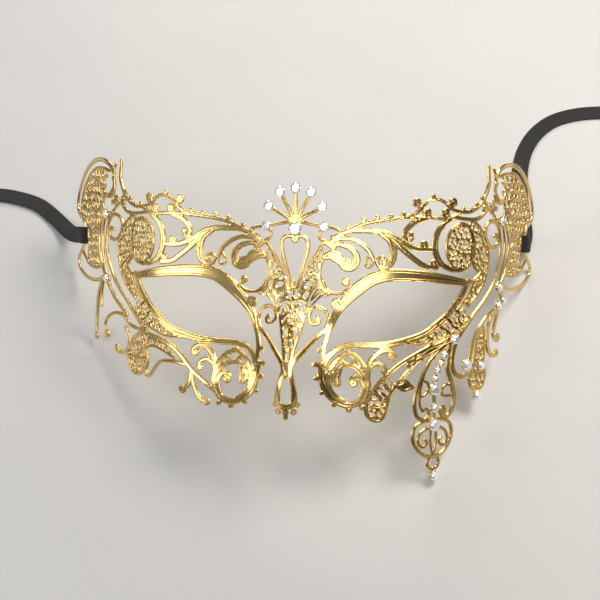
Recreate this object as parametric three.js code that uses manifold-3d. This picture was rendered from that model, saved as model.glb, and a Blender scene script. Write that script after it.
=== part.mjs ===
// Venetian masquerade mask: a thin pierced brass sheet bent round the face, glued stones and ribbon ties.
// Millimetres, +Z up. The mask leans back on its temples with its chin side to -Y.
// The sheet is drawn flat: u runs outward from the nose line round the bend, v runs up.

import * as THREE from "three";
import { mergeVertices } from "three/addons/utils/BufferGeometryUtils.js";
import { TessellateModifier } from "three/addons/modifiers/TessellateModifier.js";
import Module from "manifold-3d";

// Driving dimensions
const SHEET = 0.8;                    // thickness of the brass
const GAP = 0.3;                      // clearance between neighbouring solids
const BEND_END = 130;                 // u at which a full bend would be complete
const BEND_ANGLE = 75 * Math.PI / 180;
const BEND_HOLD = { left: 67.3, right: 100 };         // u beyond which the bend stops, the left side sprung open
const TEMPLE_TURN = { left: 14.5 * Math.PI / 180, right: 0 };
const TEMPLE_CREASE = [86, 93];       // the stretch of u that turns by TEMPLE_TURN
const NOSE_LIFT = 13.4;               // how far the nose ridge stands forward
const NOSE_WIDTH = 9;
const NOSE_TOP = 62;                  // v below which the nose ridge rises
const NOSE_SLOPE = 40;                // v that the ridge takes to rise fully
const NOSTRIL_TOP = 18;               // v below which the ridge sinks again
const NOSTRIL_SINK = 0.35;
const CHEEK_LIFT = 10.6;              // how far the lower edge flares off the cheeks
const CHEEK_WIDTH = 48;
const CHEEK_TOP = 48;                 // v below which the flare rises
const CHEEK_SLOPE = 30;
const RECLINE = 55.5 * Math.PI / 180; // how far the face leans back from upright
const FLATNESS = 0.45;                // how far a facet may leave a drawn curve
const CURVE_SAMPLES = 60;             // fine steps along a drawn curve, thinned to FLATNESS
const KNOB_SIDES = 6;
const WELD = 0.12;                    // points this close together in the flat metal become one
const SAME_DRAWN = 1e-5;              // points this close together in one slab are the same point
const SAME_SPLIT = 1e-4;              // and so are points this close after the long edges are split
const LONGEST_EDGE = 14;              // longest edge left in a bent sheet
const SPLIT_ROUNDS = 14;              // most times that the long edges are halved
const STONE_SIDES = 8;
const STONE_PROFILE = [[0, 0], [0.86, 0], [1, 0.22], [0.56, 0.62], [0, 0.62]];    // in stone radii

const GOLD = { color: 0xd8ae55, roughness: 0.25, metalness: 1.0 };
const CRYSTAL = { color: 0xe8eef2, roughness: 0.05, metalness: 0.1 };
const RIBBON = { color: 0x151517, roughness: 0.8, metalness: 0.0 };

// ---------------------------------------------------------------- the drawing
// A line is [start width, middle width, end width, points]. A knob is [u, v, radius].
// A ring is [centre u, centre v, half width, half height, line width].

const CENTRE = {  // drawn on both halves and joined on the nose line
  lines: [
    [1.7, 1.5, 1.5, [[0, 79], [0, 85], [0, 91]]],
    [1.6, 1.4, 1.4, [[0.4, 79.6], [3, 84.6], [5.8, 90]]],
    [1.6, 1.4, 1.4, [[0.6, 79.4], [5, 81.8], [10, 84.6]]],
    [1.6, 1.2, 1.2, [[0.6, 79.2], [5, 78.4], [10.8, 77.3]]],
    [3, 3, 3, [[0, 81], [0, 72.6]]],
    [1.6, 1.5, 1.4, [[0, 73.4], [3, 73.6], [4.9, 71.6], [4.6, 67.5], [3.4, 63], [2.1, 58.5], [1.1, 54]]],
    [1.3, 1.4, 1.2, [[10.3, 70.6], [7.6, 66.6], [5.2, 62], [3.6, 57.4], [2.6, 52.5]]],
    [1.2, 1.1, 1.1, [[11.4, 66.5], [9.6, 62.6], [9.4, 58.4], [9, 55], [6.9, 52.4], [5, 49.6]]],
    [0.9, 0.9, 0.9, [[6.6, 64.6], [9.8, 63.2]]],
    [0.9, 0.9, 0.9, [[5.2, 61.4], [9.4, 60]]],
    [0.9, 0.9, 0.9, [[4.2, 58.2], [6.4, 57], [9.2, 57.8]]],
    [0.9, 0.9, 0.9, [[3.2, 55], [6.2, 54.6], [7.6, 53.4]]],
    [1.4, 1.3, 1.2, [[10.9, 72], [9.4, 73], [9.2, 75.2], [10.6, 77]]],
    [1.3, 1.4, 1.3, [[11, 77], [14, 77], [16.4, 75.8], [15.6, 73.8], [13.6, 73.8]]],
    [1.6, 1.8, 1.6, [[10.6, 71.4], [13.2, 71.6], [16, 72.6]]],
    [1.2, 1.5, 1.4, [[5, 50.4], [4.6, 45], [3.2, 38.6], [1.6, 32], [0.6, 28]]],
    [1, 1, 1, [[0, 57], [0, 50]]],
    [0.9, 0.9, 0.9, [[0, 45.4], [0, 40]]],
    [1.2, 1.2, 1.2, [[0, 50], [2.6, 50.4], [5, 50]]],
    [1.2, 1.1, 1.2, [[0, 46.2], [1.4, 46.6], [2.4, 45], [3.6, 42.4]]],
    [1.2, 1.2, 1.2, [[0, 42], [2, 41.2], [3.6, 42]]],
    [0.9, 0.9, 0.9, [[0, 36], [2.6, 37.6]]],
    [2.4, 1.9, 1.8, [[0.6, 27.4], [4.4, 31.4], [8, 35.4], [11, 38.4]]],
    [1.5, 1.4, 1.3, [[11.8, 38.4], [13, 42.4], [12, 46], [9.2, 47.5], [6.7, 46.2], [6.2, 43.4], [7.6, 41.4]]],
    [1.3, 1.2, 1.1, [[7.6, 41.4], [9.4, 41.4], [10, 43], [9, 44.2]]],
    [1.8, 1.4, 1.4, [[5, 46.4], [6.4, 45.4]]],
    [2, 2, 2.6, [[0.9, 26.4], [2.2, 22], [3, 17.6], [2.6, 14.2], [0, 13]]],
    [3, 3, 3, [[0, 30], [0, 25]]],
  ],
  knobs: [[0, 80, 2.4], [0, 27.2, 2.3], [0, 9.3, 1.1], [0, 11, 1.3], [2.8, 11.2, 1.2], [4, 13.8, 1],
    [9.2, 43.2, 1], [0, 91.5, 1.7], [5.8, 90, 1.7], [10, 84.6, 1.7], [10.8, 77.3, 1.7], [0, 76.5, 2.3]],
  rings: [],
};

const EYE = {
  lines: [
    [1.9, 5.2, 4.6, [[13.4, 38.5], [15.6, 44.4], [19.2, 49.6], [23.6, 54.2], [29, 58], [35, 59.6],
      [42, 59.7]]],
    [4.6, 4, 2.8, [[42, 59.7], [50, 59.1], [58, 58], [65, 56.9], [68.5, 56.3]]],
    [2.6, 2.6, 2.8, [[68.5, 57], [66.5, 53], [63, 48.5], [58.5, 43.8], [53, 39.8]]],
    [3.4, 2.6, 2.2, [[55, 40.5], [49, 37.2], [42, 35.3], [35, 34.2], [28, 33.8], [22, 33.7]]],
    [2.2, 2.2, 2, [[22, 33.7], [17, 32.6], [13.5, 29.5], [12.6, 27]]],
    [2, 1.8, 2, [[12.6, 27], [11.9, 32], [13.2, 38.5]]],
    [1.3, 1.2, 1.2, [[20.4, 54.6], [18, 52.8], [14.6, 52.6], [12, 54.4], [10.8, 56.8]]],
    [1.2, 3, 1.6, [[14.4, 49.6], [16.4, 49.4], [17.6, 47.4]]],
    [1.6, 1.3, 1.2, [[21.6, 53.6], [20.2, 55.4], [19.2, 56.8]]],
    [1.4, 1.4, 1.4, [[42, 34.4], [50, 34.2], [58, 36.4], [64.4, 38.6], [70, 43]]],
    [1.2, 1.2, 1.2, [[50.4, 37.6], [52.4, 34.6]]],
    [1.2, 1.2, 1.2, [[54, 39.8], [57.4, 39.4], [60.4, 37.4]]],
    [1.2, 1.2, 1.2, [[57.8, 43.4], [60.4, 42.4], [61.8, 40.2], [64.4, 39]]],
    [1.3, 1.2, 1.2, [[61.6, 47], [64.6, 45], [64.4, 42.4], [66.4, 40.4]]],
    [1.4, 1.4, 1.4, [[68, 56.4], [71.4, 57.2], [75, 59.6]]],
    [1.2, 1.2, 1, [[72.6, 57.8], [70, 53.4], [66.8, 49.4], [64, 46.4]]],
  ],
  knobs: [[19.1, 57, 1.6], [15.4, 48.4, 1.6], [10.6, 32.2, 1]],
  rings: [],
};

const BROW = {
  lines: [
    [1.6, 1.5, 1.5, [[16.4, 74.2], [20, 76], [24.5, 78.2], [30, 79.7], [36, 80.5], [42, 81], [48, 81.3],
      [58, 80.9]]],
    [1.6, 1.6, 1.4, [[40.6, 81], [44, 82.4], [46.6, 84.2], [45.6, 86.4]]],
    [1.3, 1.4, 1.3, [[46.6, 84.4], [49.4, 82.6], [51, 81.4]]],
    [1.3, 1.4, 1.3, [[46.8, 84.2], [49.6, 87], [53.4, 88.2], [57, 87], [60, 84.6], [64.4, 83.7]]],
    [1.6, 1.6, 1.6, [[58, 80.9], [61.4, 81.8], [64.4, 83.4], [68.6, 83.6], [72.6, 85.2], [75.6, 87.6]]],
    [1.8, 2, 1.5, [[75.6, 87.6], [77.8, 91], [79.2, 94.6], [78.9, 98], [78.7, 101.4]]],
    [1.6, 1.7, 1.6, [[62, 81.4], [68, 80.8], [73, 81], [77, 83.4], [78, 86.2], [75.6, 88]]],
    [2.2, 2.2, 1.4, [[49, 81], [44.6, 79.4], [41.8, 77], [40.8, 74.4], [42.2, 72.6], [44, 73.4]]],
    [2, 2.4, 2, [[14.8, 73.4], [20, 75.8], [25, 76.2], [31, 75.9], [36, 74.2], [41, 71.3], [46, 69.6],
      [53, 69.4]]],
    [2.4, 2.2, 2.2, [[36, 73.4], [40, 69.5], [45, 65.6], [49, 63.2], [54, 62.6]]],
    [2.4, 3, 2.2, [[32, 75.2], [35.4, 72.6], [36.8, 68.6], [36.4, 64.8], [34.2, 62.6]]],
    [1.9, 1.5, 1.3, [[34.2, 62.5], [31.6, 62.8], [30.6, 65], [32.2, 66.4], [34, 65.4]]],
    [1.7, 1.8, 1.6, [[16, 72.8], [20.4, 73], [24.6, 71.2], [27.6, 68.4], [29.4, 65]]],
    [1.1, 1.1, 1.1, [[29.4, 65], [28.4, 62.8], [26.8, 62.8], [26.4, 64.6], [28, 67.4]]],
    [1.6, 2.4, 3.4, [[12.6, 70.4], [16.6, 70.8], [20.6, 69.6], [22.9, 66.8], [22.8, 63.8], [20.6, 62.2],
      [18.6, 62.8]]],
    [2.4, 1.6, 1.3, [[18.6, 62.4], [17.6, 64], [18.8, 65.2], [20.2, 64.4]]],
    [2.4, 4.4, 3, [[11.4, 66.2], [13.6, 66.8], [16, 65.8], [18.2, 63.4]]],
    [2.4, 2.4, 2.4, [[12.4, 71.2], [14.4, 69.6]]],
    [2.4, 2, 2, [[13.6, 71.6], [17, 74]]],
    [2, 2.8, 2, [[59.4, 80.6], [55.4, 77.6], [53.4, 73.4], [53.6, 68], [56.4, 63.6], [61, 61.5]]],
    [1.8, 1.5, 1.3, [[61, 61.5], [65, 61.3], [68.6, 62.6], [70.4, 65]]],
    [1.5, 1.5, 1.5, [[70, 80.6], [74.4, 77.6], [78, 73.6], [80, 68], [80, 62.6]]],
    [1.5, 1.4, 1.4, [[80, 62.6], [78.2, 57], [74, 51.6], [69, 47.4]]],
    [1.2, 1.2, 1.2, [[72, 81], [68.8, 78.4], [70.2, 73.6], [70, 68.6], [70.4, 64.4], [74, 60.6]]],
    [1.1, 1.1, 1.1, [[70, 76.4], [75, 74.6], [77, 71], [79.6, 70]]],
    [1.1, 1.1, 1.1, [[70.2, 70.4], [74, 68.6], [75.4, 65], [79.8, 64]]],
    [1.2, 1.2, 1.2, [[70.4, 65], [74, 62.8], [77.2, 59.8], [78.8, 58.4]]],
    [1.1, 1.1, 1.1, [[78, 57.4], [75, 55.6], [72.6, 53.4], [74, 51.6]]],
    [1, 1, 1, [[76.6, 58.6], [73.6, 55.6], [69.6, 50.6], [69, 47.6]]],
    [1, 1, 1, [[58.6, 70], [61.4, 69.4], [63, 72.4], [65.6, 73.4], [69.8, 72]]],
    [1, 1, 1, [[61.6, 76.4], [62.4, 73]]],
    [1, 1, 1, [[60.4, 65.6], [63.4, 68], [66.6, 67.6], [70, 68]]],
    [1, 1, 1, [[65.4, 61.8], [65, 64.6], [66.4, 67.6]]],
  ],
  knobs: [[19.7, 77.2, 1.1], [25.4, 79.9, 1.1], [30.5, 81, 1], [35.5, 81.5, 1], [40.2, 82.4, 1],
    [45.4, 86.8, 1.8], [49.7, 83.2, 1.7], [48.5, 82.1, 0.8], [52, 89.2, 1], [57.4, 83, 1.9], [60.6, 87, 2],
    [65.6, 84.8, 0.9], [69.2, 84.8, 0.9], [72.4, 86.6, 1], [75.2, 89.2, 1], [77.3, 85, 1.8],
    [43.3, 74.8, 1.2], [48.6, 71, 1.8], [52.6, 64, 1.6], [33.4, 64.6, 1.2], [20, 64.2, 1.4]],
  rings: [[65, 70.4, 6.7, 8.7, 1.4]],
};

const CHEEK = {
  lines: [
    [2.7, 2.7, 2.4, [[11.2, 26.6], [11.8, 22], [13.4, 17.4], [16.4, 14], [20.4, 12.3], [24.4, 13.4],
      [26.6, 16.4]]],
    [2.4, 2.2, 2.1, [[26.6, 16.4], [27.2, 20.6], [26.2, 25.4], [23.6, 29.4], [20.4, 31.2]]],
    [1.8, 2.4, 1.8, [[20.4, 31.2], [16.4, 28.4], [14, 24], [14, 19.4], [15.8, 16], [19, 13.8]]],
    [1.6, 1.8, 1.6, [[15.2, 22], [17.2, 25.6], [20.4, 27], [23.8, 25.6], [26.2, 22.6]]],
    [1.7, 1.6, 1.6, [[18, 28.8], [20.4, 26.8], [23.4, 28.8]]],
    [1.3, 1.5, 1.3, [[16.2, 24.4], [15.5, 22], [16.4, 19.8], [17.6, 20]]],
    [1.3, 1.3, 1.3, [[17.6, 20], [17.4, 23], [18.2, 26]]],
    [1.7, 2.3, 1.7, [[25, 15.4], [26, 19], [24.8, 22.2], [22.4, 22.6], [21.4, 20.8]]],
    [1.8, 2.2, 1.7, [[27, 21.6], [28, 27.4], [30.8, 31], [34.2, 32], [36.8, 30.6], [36.4, 28.8], [35, 29]]],
    [1.6, 1.8, 1.5, [[27.6, 25.4], [30.6, 27.2], [33.2, 26], [33.4, 23.8]]],
  ],
  knobs: [[9.2, 27.4, 1], [9.8, 22.6, 1], [11.9, 17.2, 1.1], [16, 12.6, 1.1], [21, 10.6, 1.1],
    [25.4, 11.4, 1.1], [22.4, 20.4, 1.5], [35.4, 29.4, 1.3], [33, 24, 1.3], [10.4, 22.6, 1],
    [10.2, 27.2, 1]],
  rings: [],
};

const CHEEK_LEFT = {
  lines: [
    [1.7, 2, 2.5, [[26.6, 15.6], [31.6, 19.4], [36, 22.4], [41, 26.8], [46, 30], [53, 32.2], [59.7, 33.3]]],
    [1.5, 1.8, 1.6, [[36.2, 22.4], [35, 16.6], [32.6, 12.4], [30, 11.2]]],
    [1.5, 2, 1.6, [[36.6, 22], [37.2, 17.4], [39.4, 15]]],
    [1.6, 1.6, 1.5, [[39, 24.4], [46, 24.8], [52, 24], [56, 20.6], [58.8, 17.6], [61.6, 18]]],
    [1.3, 1.3, 1.3, [[45, 26.4], [52, 28.6], [58, 29.4], [62.4, 27.6]]],
    [1.8, 1.8, 1.6, [[58, 33.2], [64, 34], [69, 31.6], [72, 28.2], [76, 25], [81, 25]]],
    [1.6, 1.6, 1.5, [[73.4, 27.6], [72.6, 31], [75, 34.6]]],
    [1.3, 1.3, 1.3, [[55.4, 32.4], [56.4, 29.4]]],
    [1.3, 1.3, 1.3, [[60, 33], [60.6, 29]]],
    [1.3, 1.3, 1.3, [[64.4, 33.8], [63.6, 28], [66.6, 24], [66, 17.4]]],
    [1.3, 1.3, 1.3, [[60, 24.4], [66.6, 24], [73, 24.6]]],
  ],
  knobs: [[30, 11.4, 1.5], [40.2, 14.8, 1.7], [61.4, 18.6, 1.2], [81, 26.2, 1.7], [75, 34.6, 1.2]],
  rings: [[66.8, 23.6, 6.6, 6.2, 1.5]],
};

const CHEEK_RIGHT = {
  lines: [
    [1.5, 1.6, 1.7, [[26.6, 13], [29.4, 18.4], [33.4, 22.8], [38, 26.4], [44, 29.6], [52, 33]]],
    [1.6, 1.6, 1.5, [[26.8, 12.4], [27.2, 8.6], [30, 6.4], [32.6, 7.4], [34.2, 12], [35, 16], [38, 20.4],
      [45, 27.2]]],
    [2.2, 3.8, 2.2, [[42, 26.4], [49, 30.2], [56, 33], [60, 35.4]]],
    [1.5, 1.5, 1.5, [[29.6, 17.6], [31.6, 14.6], [34, 13.6]]],
    [1.5, 1.5, 1.5, [[27.6, 12.4], [30.6, 11.2], [34, 12]]],
    [1.5, 1.5, 1.5, [[32.6, 21.6], [33.8, 18.6], [36, 18]]],
    [1.3, 1.3, 1.3, [[30.6, 11.2], [30, 6.8]]],
    [1.7, 4.9, 1.6, [[37, 19.4], [41, 18.8], [43.6, 18]]],
  ],
  knobs: [[48, 28.4, 0.9], [52.6, 30.8, 0.9], [56.8, 33, 0.9]],
  rings: [],
};

const TEMPLE = {
  lines: [
    [1.5, 1.6, 1.8, [[83.6, 74.2], [85.6, 74.6], [86.2, 72], [84.4, 70.2], [81.4, 70.2], [78.6, 72.6],
      [77.6, 76.2]]],
    [1.6, 1.7, 1.7, [[77.4, 76.2], [79.6, 79.4], [83.4, 80], [86.8, 77.2], [88.4, 72], [88.4, 66],
      [86.6, 60.2]]],
    [1.7, 1.8, 1.6, [[86.6, 60.2], [83.4, 54.8], [79, 50], [73.6, 45.2], [69.4, 41]]],
    [1.8, 1.8, 1.8, [[84.2, 80.2], [88.6, 80.6]]],
    [1.3, 1.5, 1.3, [[86.4, 80.2], [90, 77.4], [92, 72], [91.8, 65.6], [90, 60], [87.8, 55]]],
    [1.6, 1.8, 1.6, [[88.6, 80.6], [93, 77.6], [95.8, 72], [95.6, 65.6], [93, 59.6], [89, 54.6]]],
    [1.4, 1.4, 1.4, [[79.6, 84.6], [82.4, 82.8], [84.6, 80.6]]],
    [1.6, 1.4, 1.2, [[81.8, 86.4], [84, 85]]],
    [1.4, 1.2, 1.2, [[82.2, 83.2], [81.8, 86.2]]],
    [1.2, 1.2, 1.2, [[82, 100.4], [83.6, 97.4], [83.6, 94]]],
    [1.4, 3, 1.4, [[83.6, 94.4], [83.6, 90.4], [86.2, 87.6], [90.4, 88.2]]],
    [1.8, 1.9, 1.9, [[83.6, 96.4], [86.4, 100], [92, 102], [100, 102], [108, 99.6], [115, 95],
      [120.4, 88.4]]],
    [1.9, 1.8, 1.8, [[120.4, 88.4], [122.2, 83.6], [120.6, 80], [115.8, 77.6], [113.7, 73.6],
      [113.9, 67.6], [118, 63.4]]],
    [1.8, 1.7, 1.6, [[118, 63.4], [121, 60.4], [119.6, 56.8], [113, 53.8], [105, 52.6], [97, 52.8],
      [91, 54.6]]],
    [1.2, 1.4, 1.4, [[86, 97.4], [92, 98.8], [100, 98.6], [107, 96], [113, 91.4], [116.8, 85.4],
      [117.4, 79]]],
    [1.3, 1.3, 1.3, [[89.8, 88], [92.6, 92], [98, 93.8], [103.6, 91.4], [105.8, 86.4], [103, 81.8],
      [98, 80.8]]],
    [1.3, 1.2, 1.2, [[98, 80.8], [94.4, 83.4], [94.8, 87], [98, 88.6], [100.4, 86.6]]],
    [1.3, 1.3, 1.3, [[90, 88], [91.6, 84], [89.8, 79.8]]],
    [1.3, 1.3, 1.3, [[105.8, 86.4], [111, 84.2], [112.6, 79], [109, 74.6], [104, 73], [99, 74.4],
      [95.6, 73]]],
    [1.3, 1.3, 1.3, [[104, 73], [106, 68], [103.6, 63.8], [99, 62.8], [95, 64.2]]],
    [1.3, 1.2, 1.3, [[112.6, 79.4], [116.6, 78.6]]],
    [1.3, 1.2, 1.3, [[109, 74.6], [109.2, 70], [108, 65.6], [109.6, 59.4]]],
    [1.3, 1.3, 1.3, [[100, 98.6], [99, 93.6]]],
    [1.3, 1.3, 1.3, [[112, 92.2], [108.4, 89.4], [105.4, 88]]],
    [1.3, 1.3, 1.3, [[98, 80.8], [98.6, 77.4], [98, 74.4]]],
    [1.3, 1.4, 1.4, [[92.6, 58.8], [99.4, 57.8], [107, 58.6], [112.6, 61.6], [116.6, 64.4]]],
    [2, 2, 2, [[88, 54], [92, 54.2]]],
    [1.4, 1.4, 1.4, [[99.4, 63], [99.6, 58]]],
  ],
  knobs: [[88.5, 80, 2.1], [88, 54, 2.1], [81.6, 86.4, 1.8], [84.2, 85, 1.2], [83.6, 97.4, 1.2],
    [83.8, 94.4, 1.3]],
  rings: [],
};

const TEMPLE_LEFT = {
  lines: [
    [1.8, 2, 2, [[88, 53.4], [83.6, 47.6], [78, 43], [74.6, 40.2]]],
    [1.6, 1.6, 1.6, [[69.8, 41.4], [66.4, 38.4], [62.8, 35.6]]],
    [1.5, 1.5, 1.5, [[61.6, 35.6], [67.6, 35.4], [73, 37], [76.6, 39.8], [82, 40.4], [86.8, 38.6],
      [89.4, 35.2], [88.8, 32]]],
    [1.8, 2.8, 1.6, [[92.6, 54], [96.4, 47.4], [98.4, 39], [98.8, 31]]],
    [1.4, 1.4, 1.2, [[90.6, 54], [92.8, 48], [93, 42.4]]],
  ],
  knobs: [[88, 31.4, 1.8], [98.8, 29.6, 1.9]],
  rings: [],
};

const TEMPLE_RIGHT = {
  lines: [
    [1.8, 2, 2.1, [[69.6, 41.2], [65.6, 36.6], [62.8, 31.6], [61.8, 26.6], [62.8, 22.4], [66, 20.4],
      [69, 21.4]]],
    [1.8, 1.6, 1.6, [[69, 21.4], [69, 24.6]]],
    [2.1, 2.8, 2.3, [[88, 54], [90.6, 49.6], [88.4, 45.6], [84, 43.6]]],
    [1.7, 1.6, 1.4, [[85, 45], [80, 42.6], [76, 39.2], [73, 34.6], [71.4, 30], [70.4, 26]]],
    [1.6, 2, 1.8, [[85.4, 44.6], [82, 40.4], [80.8, 35.2], [81.4, 30.4], [83.8, 27.4], [87.2, 27.4]]],
    [1.6, 2, 1.8, [[88.4, 45], [86.2, 40], [85, 36], [86.6, 33.4], [88, 33.6]]],
  ],
  knobs: [[69, 24.8, 2.2], [87.6, 28, 1.5], [88, 34, 1.9], [91.4, 48.6, 1.9], [87.8, 46.8, 1.9]],
  rings: [],
};

const DROP_MAIN = {
  lines: [
    [1.8, 1.7, 1.7, [[63, 35], [57, 32], [52.6, 28.6], [49, 24], [46, 18], [44.6, 12], [45.6, 7],
      [48.4, 5.2]]],
    [1.7, 1.5, 1.5, [[48.4, 5.2], [51, 6.6], [50.4, 9], [48.6, 9]]],
    [1.1, 1.2, 1.1, [[48.8, 22.8], [47, 17.4], [46.8, 11.6], [48.2, 8.4]]],
    [1.8, 2.2, 1.9, [[60.8, 33.6], [59.8, 28], [59.6, 23.6], [61.6, 18.6], [63, 13.4], [62.4, 8.8],
      [59.6, 5.6], [57, 6.4]]],
    [1.6, 1.5, 1.3, [[57, 6.4], [56, 8.6], [58.2, 9.6]]],
    [1.3, 1.2, 1.2, [[48, 20.2], [50.2, 19], [50.4, 16.4], [48.6, 14.6], [46.8, 14.2]]],
    [1.3, 1.2, 1.3, [[62, 17.4], [58.8, 17.8], [57, 16], [57.6, 13.8], [62.4, 13.6]]],
    [1.8, 1.7, 1.7, [[59.8, 31.2], [58, 28.8], [56.4, 26], [54.6, 23.4], [53.6, 20.2], [53, 16.5],
      [53.4, 12.4], [53.6, 9.4]]],
    [1.7, 1.6, 1.6, [[53.6, 9.4], [53.4, 6], [53.2, 3]]],
    [1.5, 1.6, 1.6, [[53.2, 4.6], [48.8, 4.8], [45, 2.6], [44.2, -1.6], [46, -5.6], [49.4, -8.4],
      [53.4, -9.4]]],
    [1.5, 1.6, 1.6, [[53.2, 4.6], [57.6, 4.8], [61.4, 2.6], [62.2, -1.6], [60.4, -5.6], [57.2, -8.4],
      [53.4, -9.4]]],
    [1.5, 1.3, 1.2, [[52.6, 1.4], [49.6, 1.6], [46.8, -0.6], [46.6, -3.8], [49, -5.2], [50.4, -3.6],
      [49.2, -2.2]]],
    [1.5, 1.3, 1.2, [[53.8, 1.4], [56.8, 1.6], [59.6, -0.6], [59.8, -3.8], [57.4, -5.2], [56, -3.6],
      [57.2, -2.2]]],
    [1.3, 1.1, 1.1, [[52.2, 2], [52, -3.4], [53.3, -8.8]]],
    [1.3, 1.1, 1.1, [[54.4, 2], [54.6, -3.4], [53.5, -8.8]]],
    [1.5, 1.5, 2, [[53.6, -13.6], [54, -16.6]]],
  ],
  knobs: [[63, 35, 1.8], [58, 29, 1.6], [56.4, 26, 1.5], [54.6, 23.4, 1.6], [53.6, 20.2, 1.6],
    [53, 16.5, 2.4], [53.6, 9.4, 2], [53.3, 3, 2.5], [53.8, 1.3, 0.8], [54, -16.6, 2], [58.2, 8, 1.3]],
  rings: [[53.5, -11.6, 2.7, 2.5, 1.3]],
};

const DROP_SECOND = {
  lines: [
    [1.6, 1.6, 1.6, [[78.2, 38.6], [79, 31], [78.8, 25], [80, 20.4], [78.6, 16.2], [75.2, 14.6], [72, 16],
      [70.8, 19.4]]],
    [1.6, 1.6, 1.6, [[70.8, 19.4], [72.4, 22.6], [73, 27], [74.2, 33], [76.4, 37.6], [78.2, 38.6]]],
    [1.3, 1.2, 1.2, [[72.4, 22.6], [75, 21], [79.6, 21]]],
    [1.2, 1.2, 1.2, [[75, 21], [74.2, 18.4], [76.4, 17]]],
    [1.2, 1.2, 1.2, [[73.6, 30], [76.2, 29.4], [79, 31.6]]],
    [1.2, 1.2, 1.2, [[74.8, 34.6], [79, 34.4]]],
    [1.2, 1.2, 1.2, [[73, 26.4], [76, 25.4], [79, 26.4]]],
    [1.6, 1.6, 1.8, [[75.2, 14.8], [75.4, 12.6]]],
  ],
  knobs: [[77, 24, 2], [75.4, 12.5, 2]],
  rings: [],
};

// Stones: [u, v, radius]. A negative u is on the left of the mask.
const STONES = {
  fan: [[0, 91.5, 2.1], [-5.8, 90, 2.1], [5.8, 90, 2.1], [-10, 84.6, 2.1], [10, 84.6, 2.1],
    [-10.8, 77.3, 2], [10.8, 77.3, 2], [0, 76.4, 2.8]],
  temple: [[-88.5, 80, 1.6], [-88, 54, 1.6], [88.5, 80, 1.6], [88, 54, 1.6], [91.4, 48.6, 1.6],
    [87.8, 46.8, 1.6]],
  drop: [[63, 35, 1.8], [58, 29, 1.6], [56.4, 26, 1.3], [54.6, 23.4, 1.5], [53.6, 20.2, 1.5],
    [53, 16.5, 2.2], [53.6, 9.4, 1.9], [53.3, 3, 2.6], [54, -16.6, 2], [69, 24.8, 2.3], [77, 24, 1.9],
    [75.4, 12.5, 2]],
};

// Ribbon ties, 450 mm each: a fold round the temple edge, a run over the floor and a roll stood on its edge.
const RIBBON_WIDE = 7;
const RIBBON_THICK = 0.5;
const RIBBON_STEPS = 50;
const RIBBON_LEAN = {                 // turn about its own run that lays each ribbon flat on the floor
  ribbon_left: -36 * Math.PI / 180,
  ribbon_right: -2 * Math.PI / 180,
};
const LOOP_U = 113.8;
const LOOP_V = 70.6;
const LOOP_LONG = 3;                  // half size of the fold along the sheet
const LOOP_DEEP = 2.2;                // half size of the fold through the sheet
const LOOP_SIDES = 12;
const ROLL_RADIUS = 37;
const ROLL_DEEP = 6;
const ROLL_SIDES = 24;
const RIBBON_ROUTES = {
  ribbon_left: [[-94.4, 38.6, 14.5], [-95.6, 39.8, 12.8], [-97.4, 41.4, 10.2], [-100, 43.6, 7.2],
    [-103.2, 46.6, 4.2], [-107.2, 50.8, 2], [-112.4, 55.8, 1], [-120.8, 62.4, 0.85], [-130.4, 66, 0.85],
    [-141.4, 67.9, 0.85], [-164, 68.6, 0.85]],
  ribbon_right: [[94.6, 41.5, 10.3], [95.4, 43, 8.2], [95.8, 45.6, 5.6], [95.4, 49.4, 3.2], [94.6, 54.4, 1.6],
    [93.8, 61, 0.8], [93.2, 69, 0.5], [93, 79, 0.5], [93.8, 89, 0.5], [96.2, 98, 0.5], [101, 106.6, 0.5],
    [108.6, 113.6, 0.5], [118.6, 117.4, 0.5], [129.6, 118.8, 0.5], [151.6, 119.4, 0.5]],
};
const ROLL_CENTRES = { ribbon_roll_left: [-190, 31], ribbon_roll_right: [174, 82] };

// ---------------------------------------------------------------- the bend
const BEND_SAMPLES = 260;

function bendAngle(u, side) {
  const bend = BEND_ANGLE * THREE.MathUtils.smoothstep(Math.min(u, BEND_HOLD[side]), 0, BEND_END);
  return bend + TEMPLE_TURN[side] * THREE.MathUtils.smoothstep(u, ...TEMPLE_CREASE);
}

// How far out and back the bent sheet has come at each sample of u.
function bendTable(side) {
  const table = [[0, 0]];
  const length = BEND_END / BEND_SAMPLES;
  for (let i = 0; i < BEND_SAMPLES; i += 1) {
    const angle = bendAngle((i + 0.5) * length, side);
    table.push([table[i][0] + length * Math.cos(angle), table[i][1] + length * Math.sin(angle)]);
  }
  return table;
}

const bendTables = { left: bendTable("left"), right: bendTable("right") };

function readBend(u, side) {
  const table = bendTables[side];
  const place = u / BEND_END * BEND_SAMPLES;
  const i = Math.min(Math.floor(place), BEND_SAMPLES - 1);
  return table[i].map((value, k) => THREE.MathUtils.lerp(value, table[i + 1][k], place - i));
}

// How far the sheet stands forward of the plain bend, for the nose ridge and the cheek flare.
function lift(u, v) {
  const rise = THREE.MathUtils.smoothstep(NOSE_TOP - v, 0, NOSE_SLOPE);
  const sink = 1 - NOSTRIL_SINK * THREE.MathUtils.smoothstep(NOSTRIL_TOP - v, 0, NOSTRIL_TOP);
  const flare = THREE.MathUtils.smoothstep(CHEEK_TOP - v, 0, CHEEK_SLOPE);
  const nose = NOSE_LIFT * rise * sink * Math.exp(-((u / NOSE_WIDTH) ** 2));
  return nose + CHEEK_LIFT * flare * Math.exp(-((u / CHEEK_WIDTH) ** 4));
}

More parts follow.
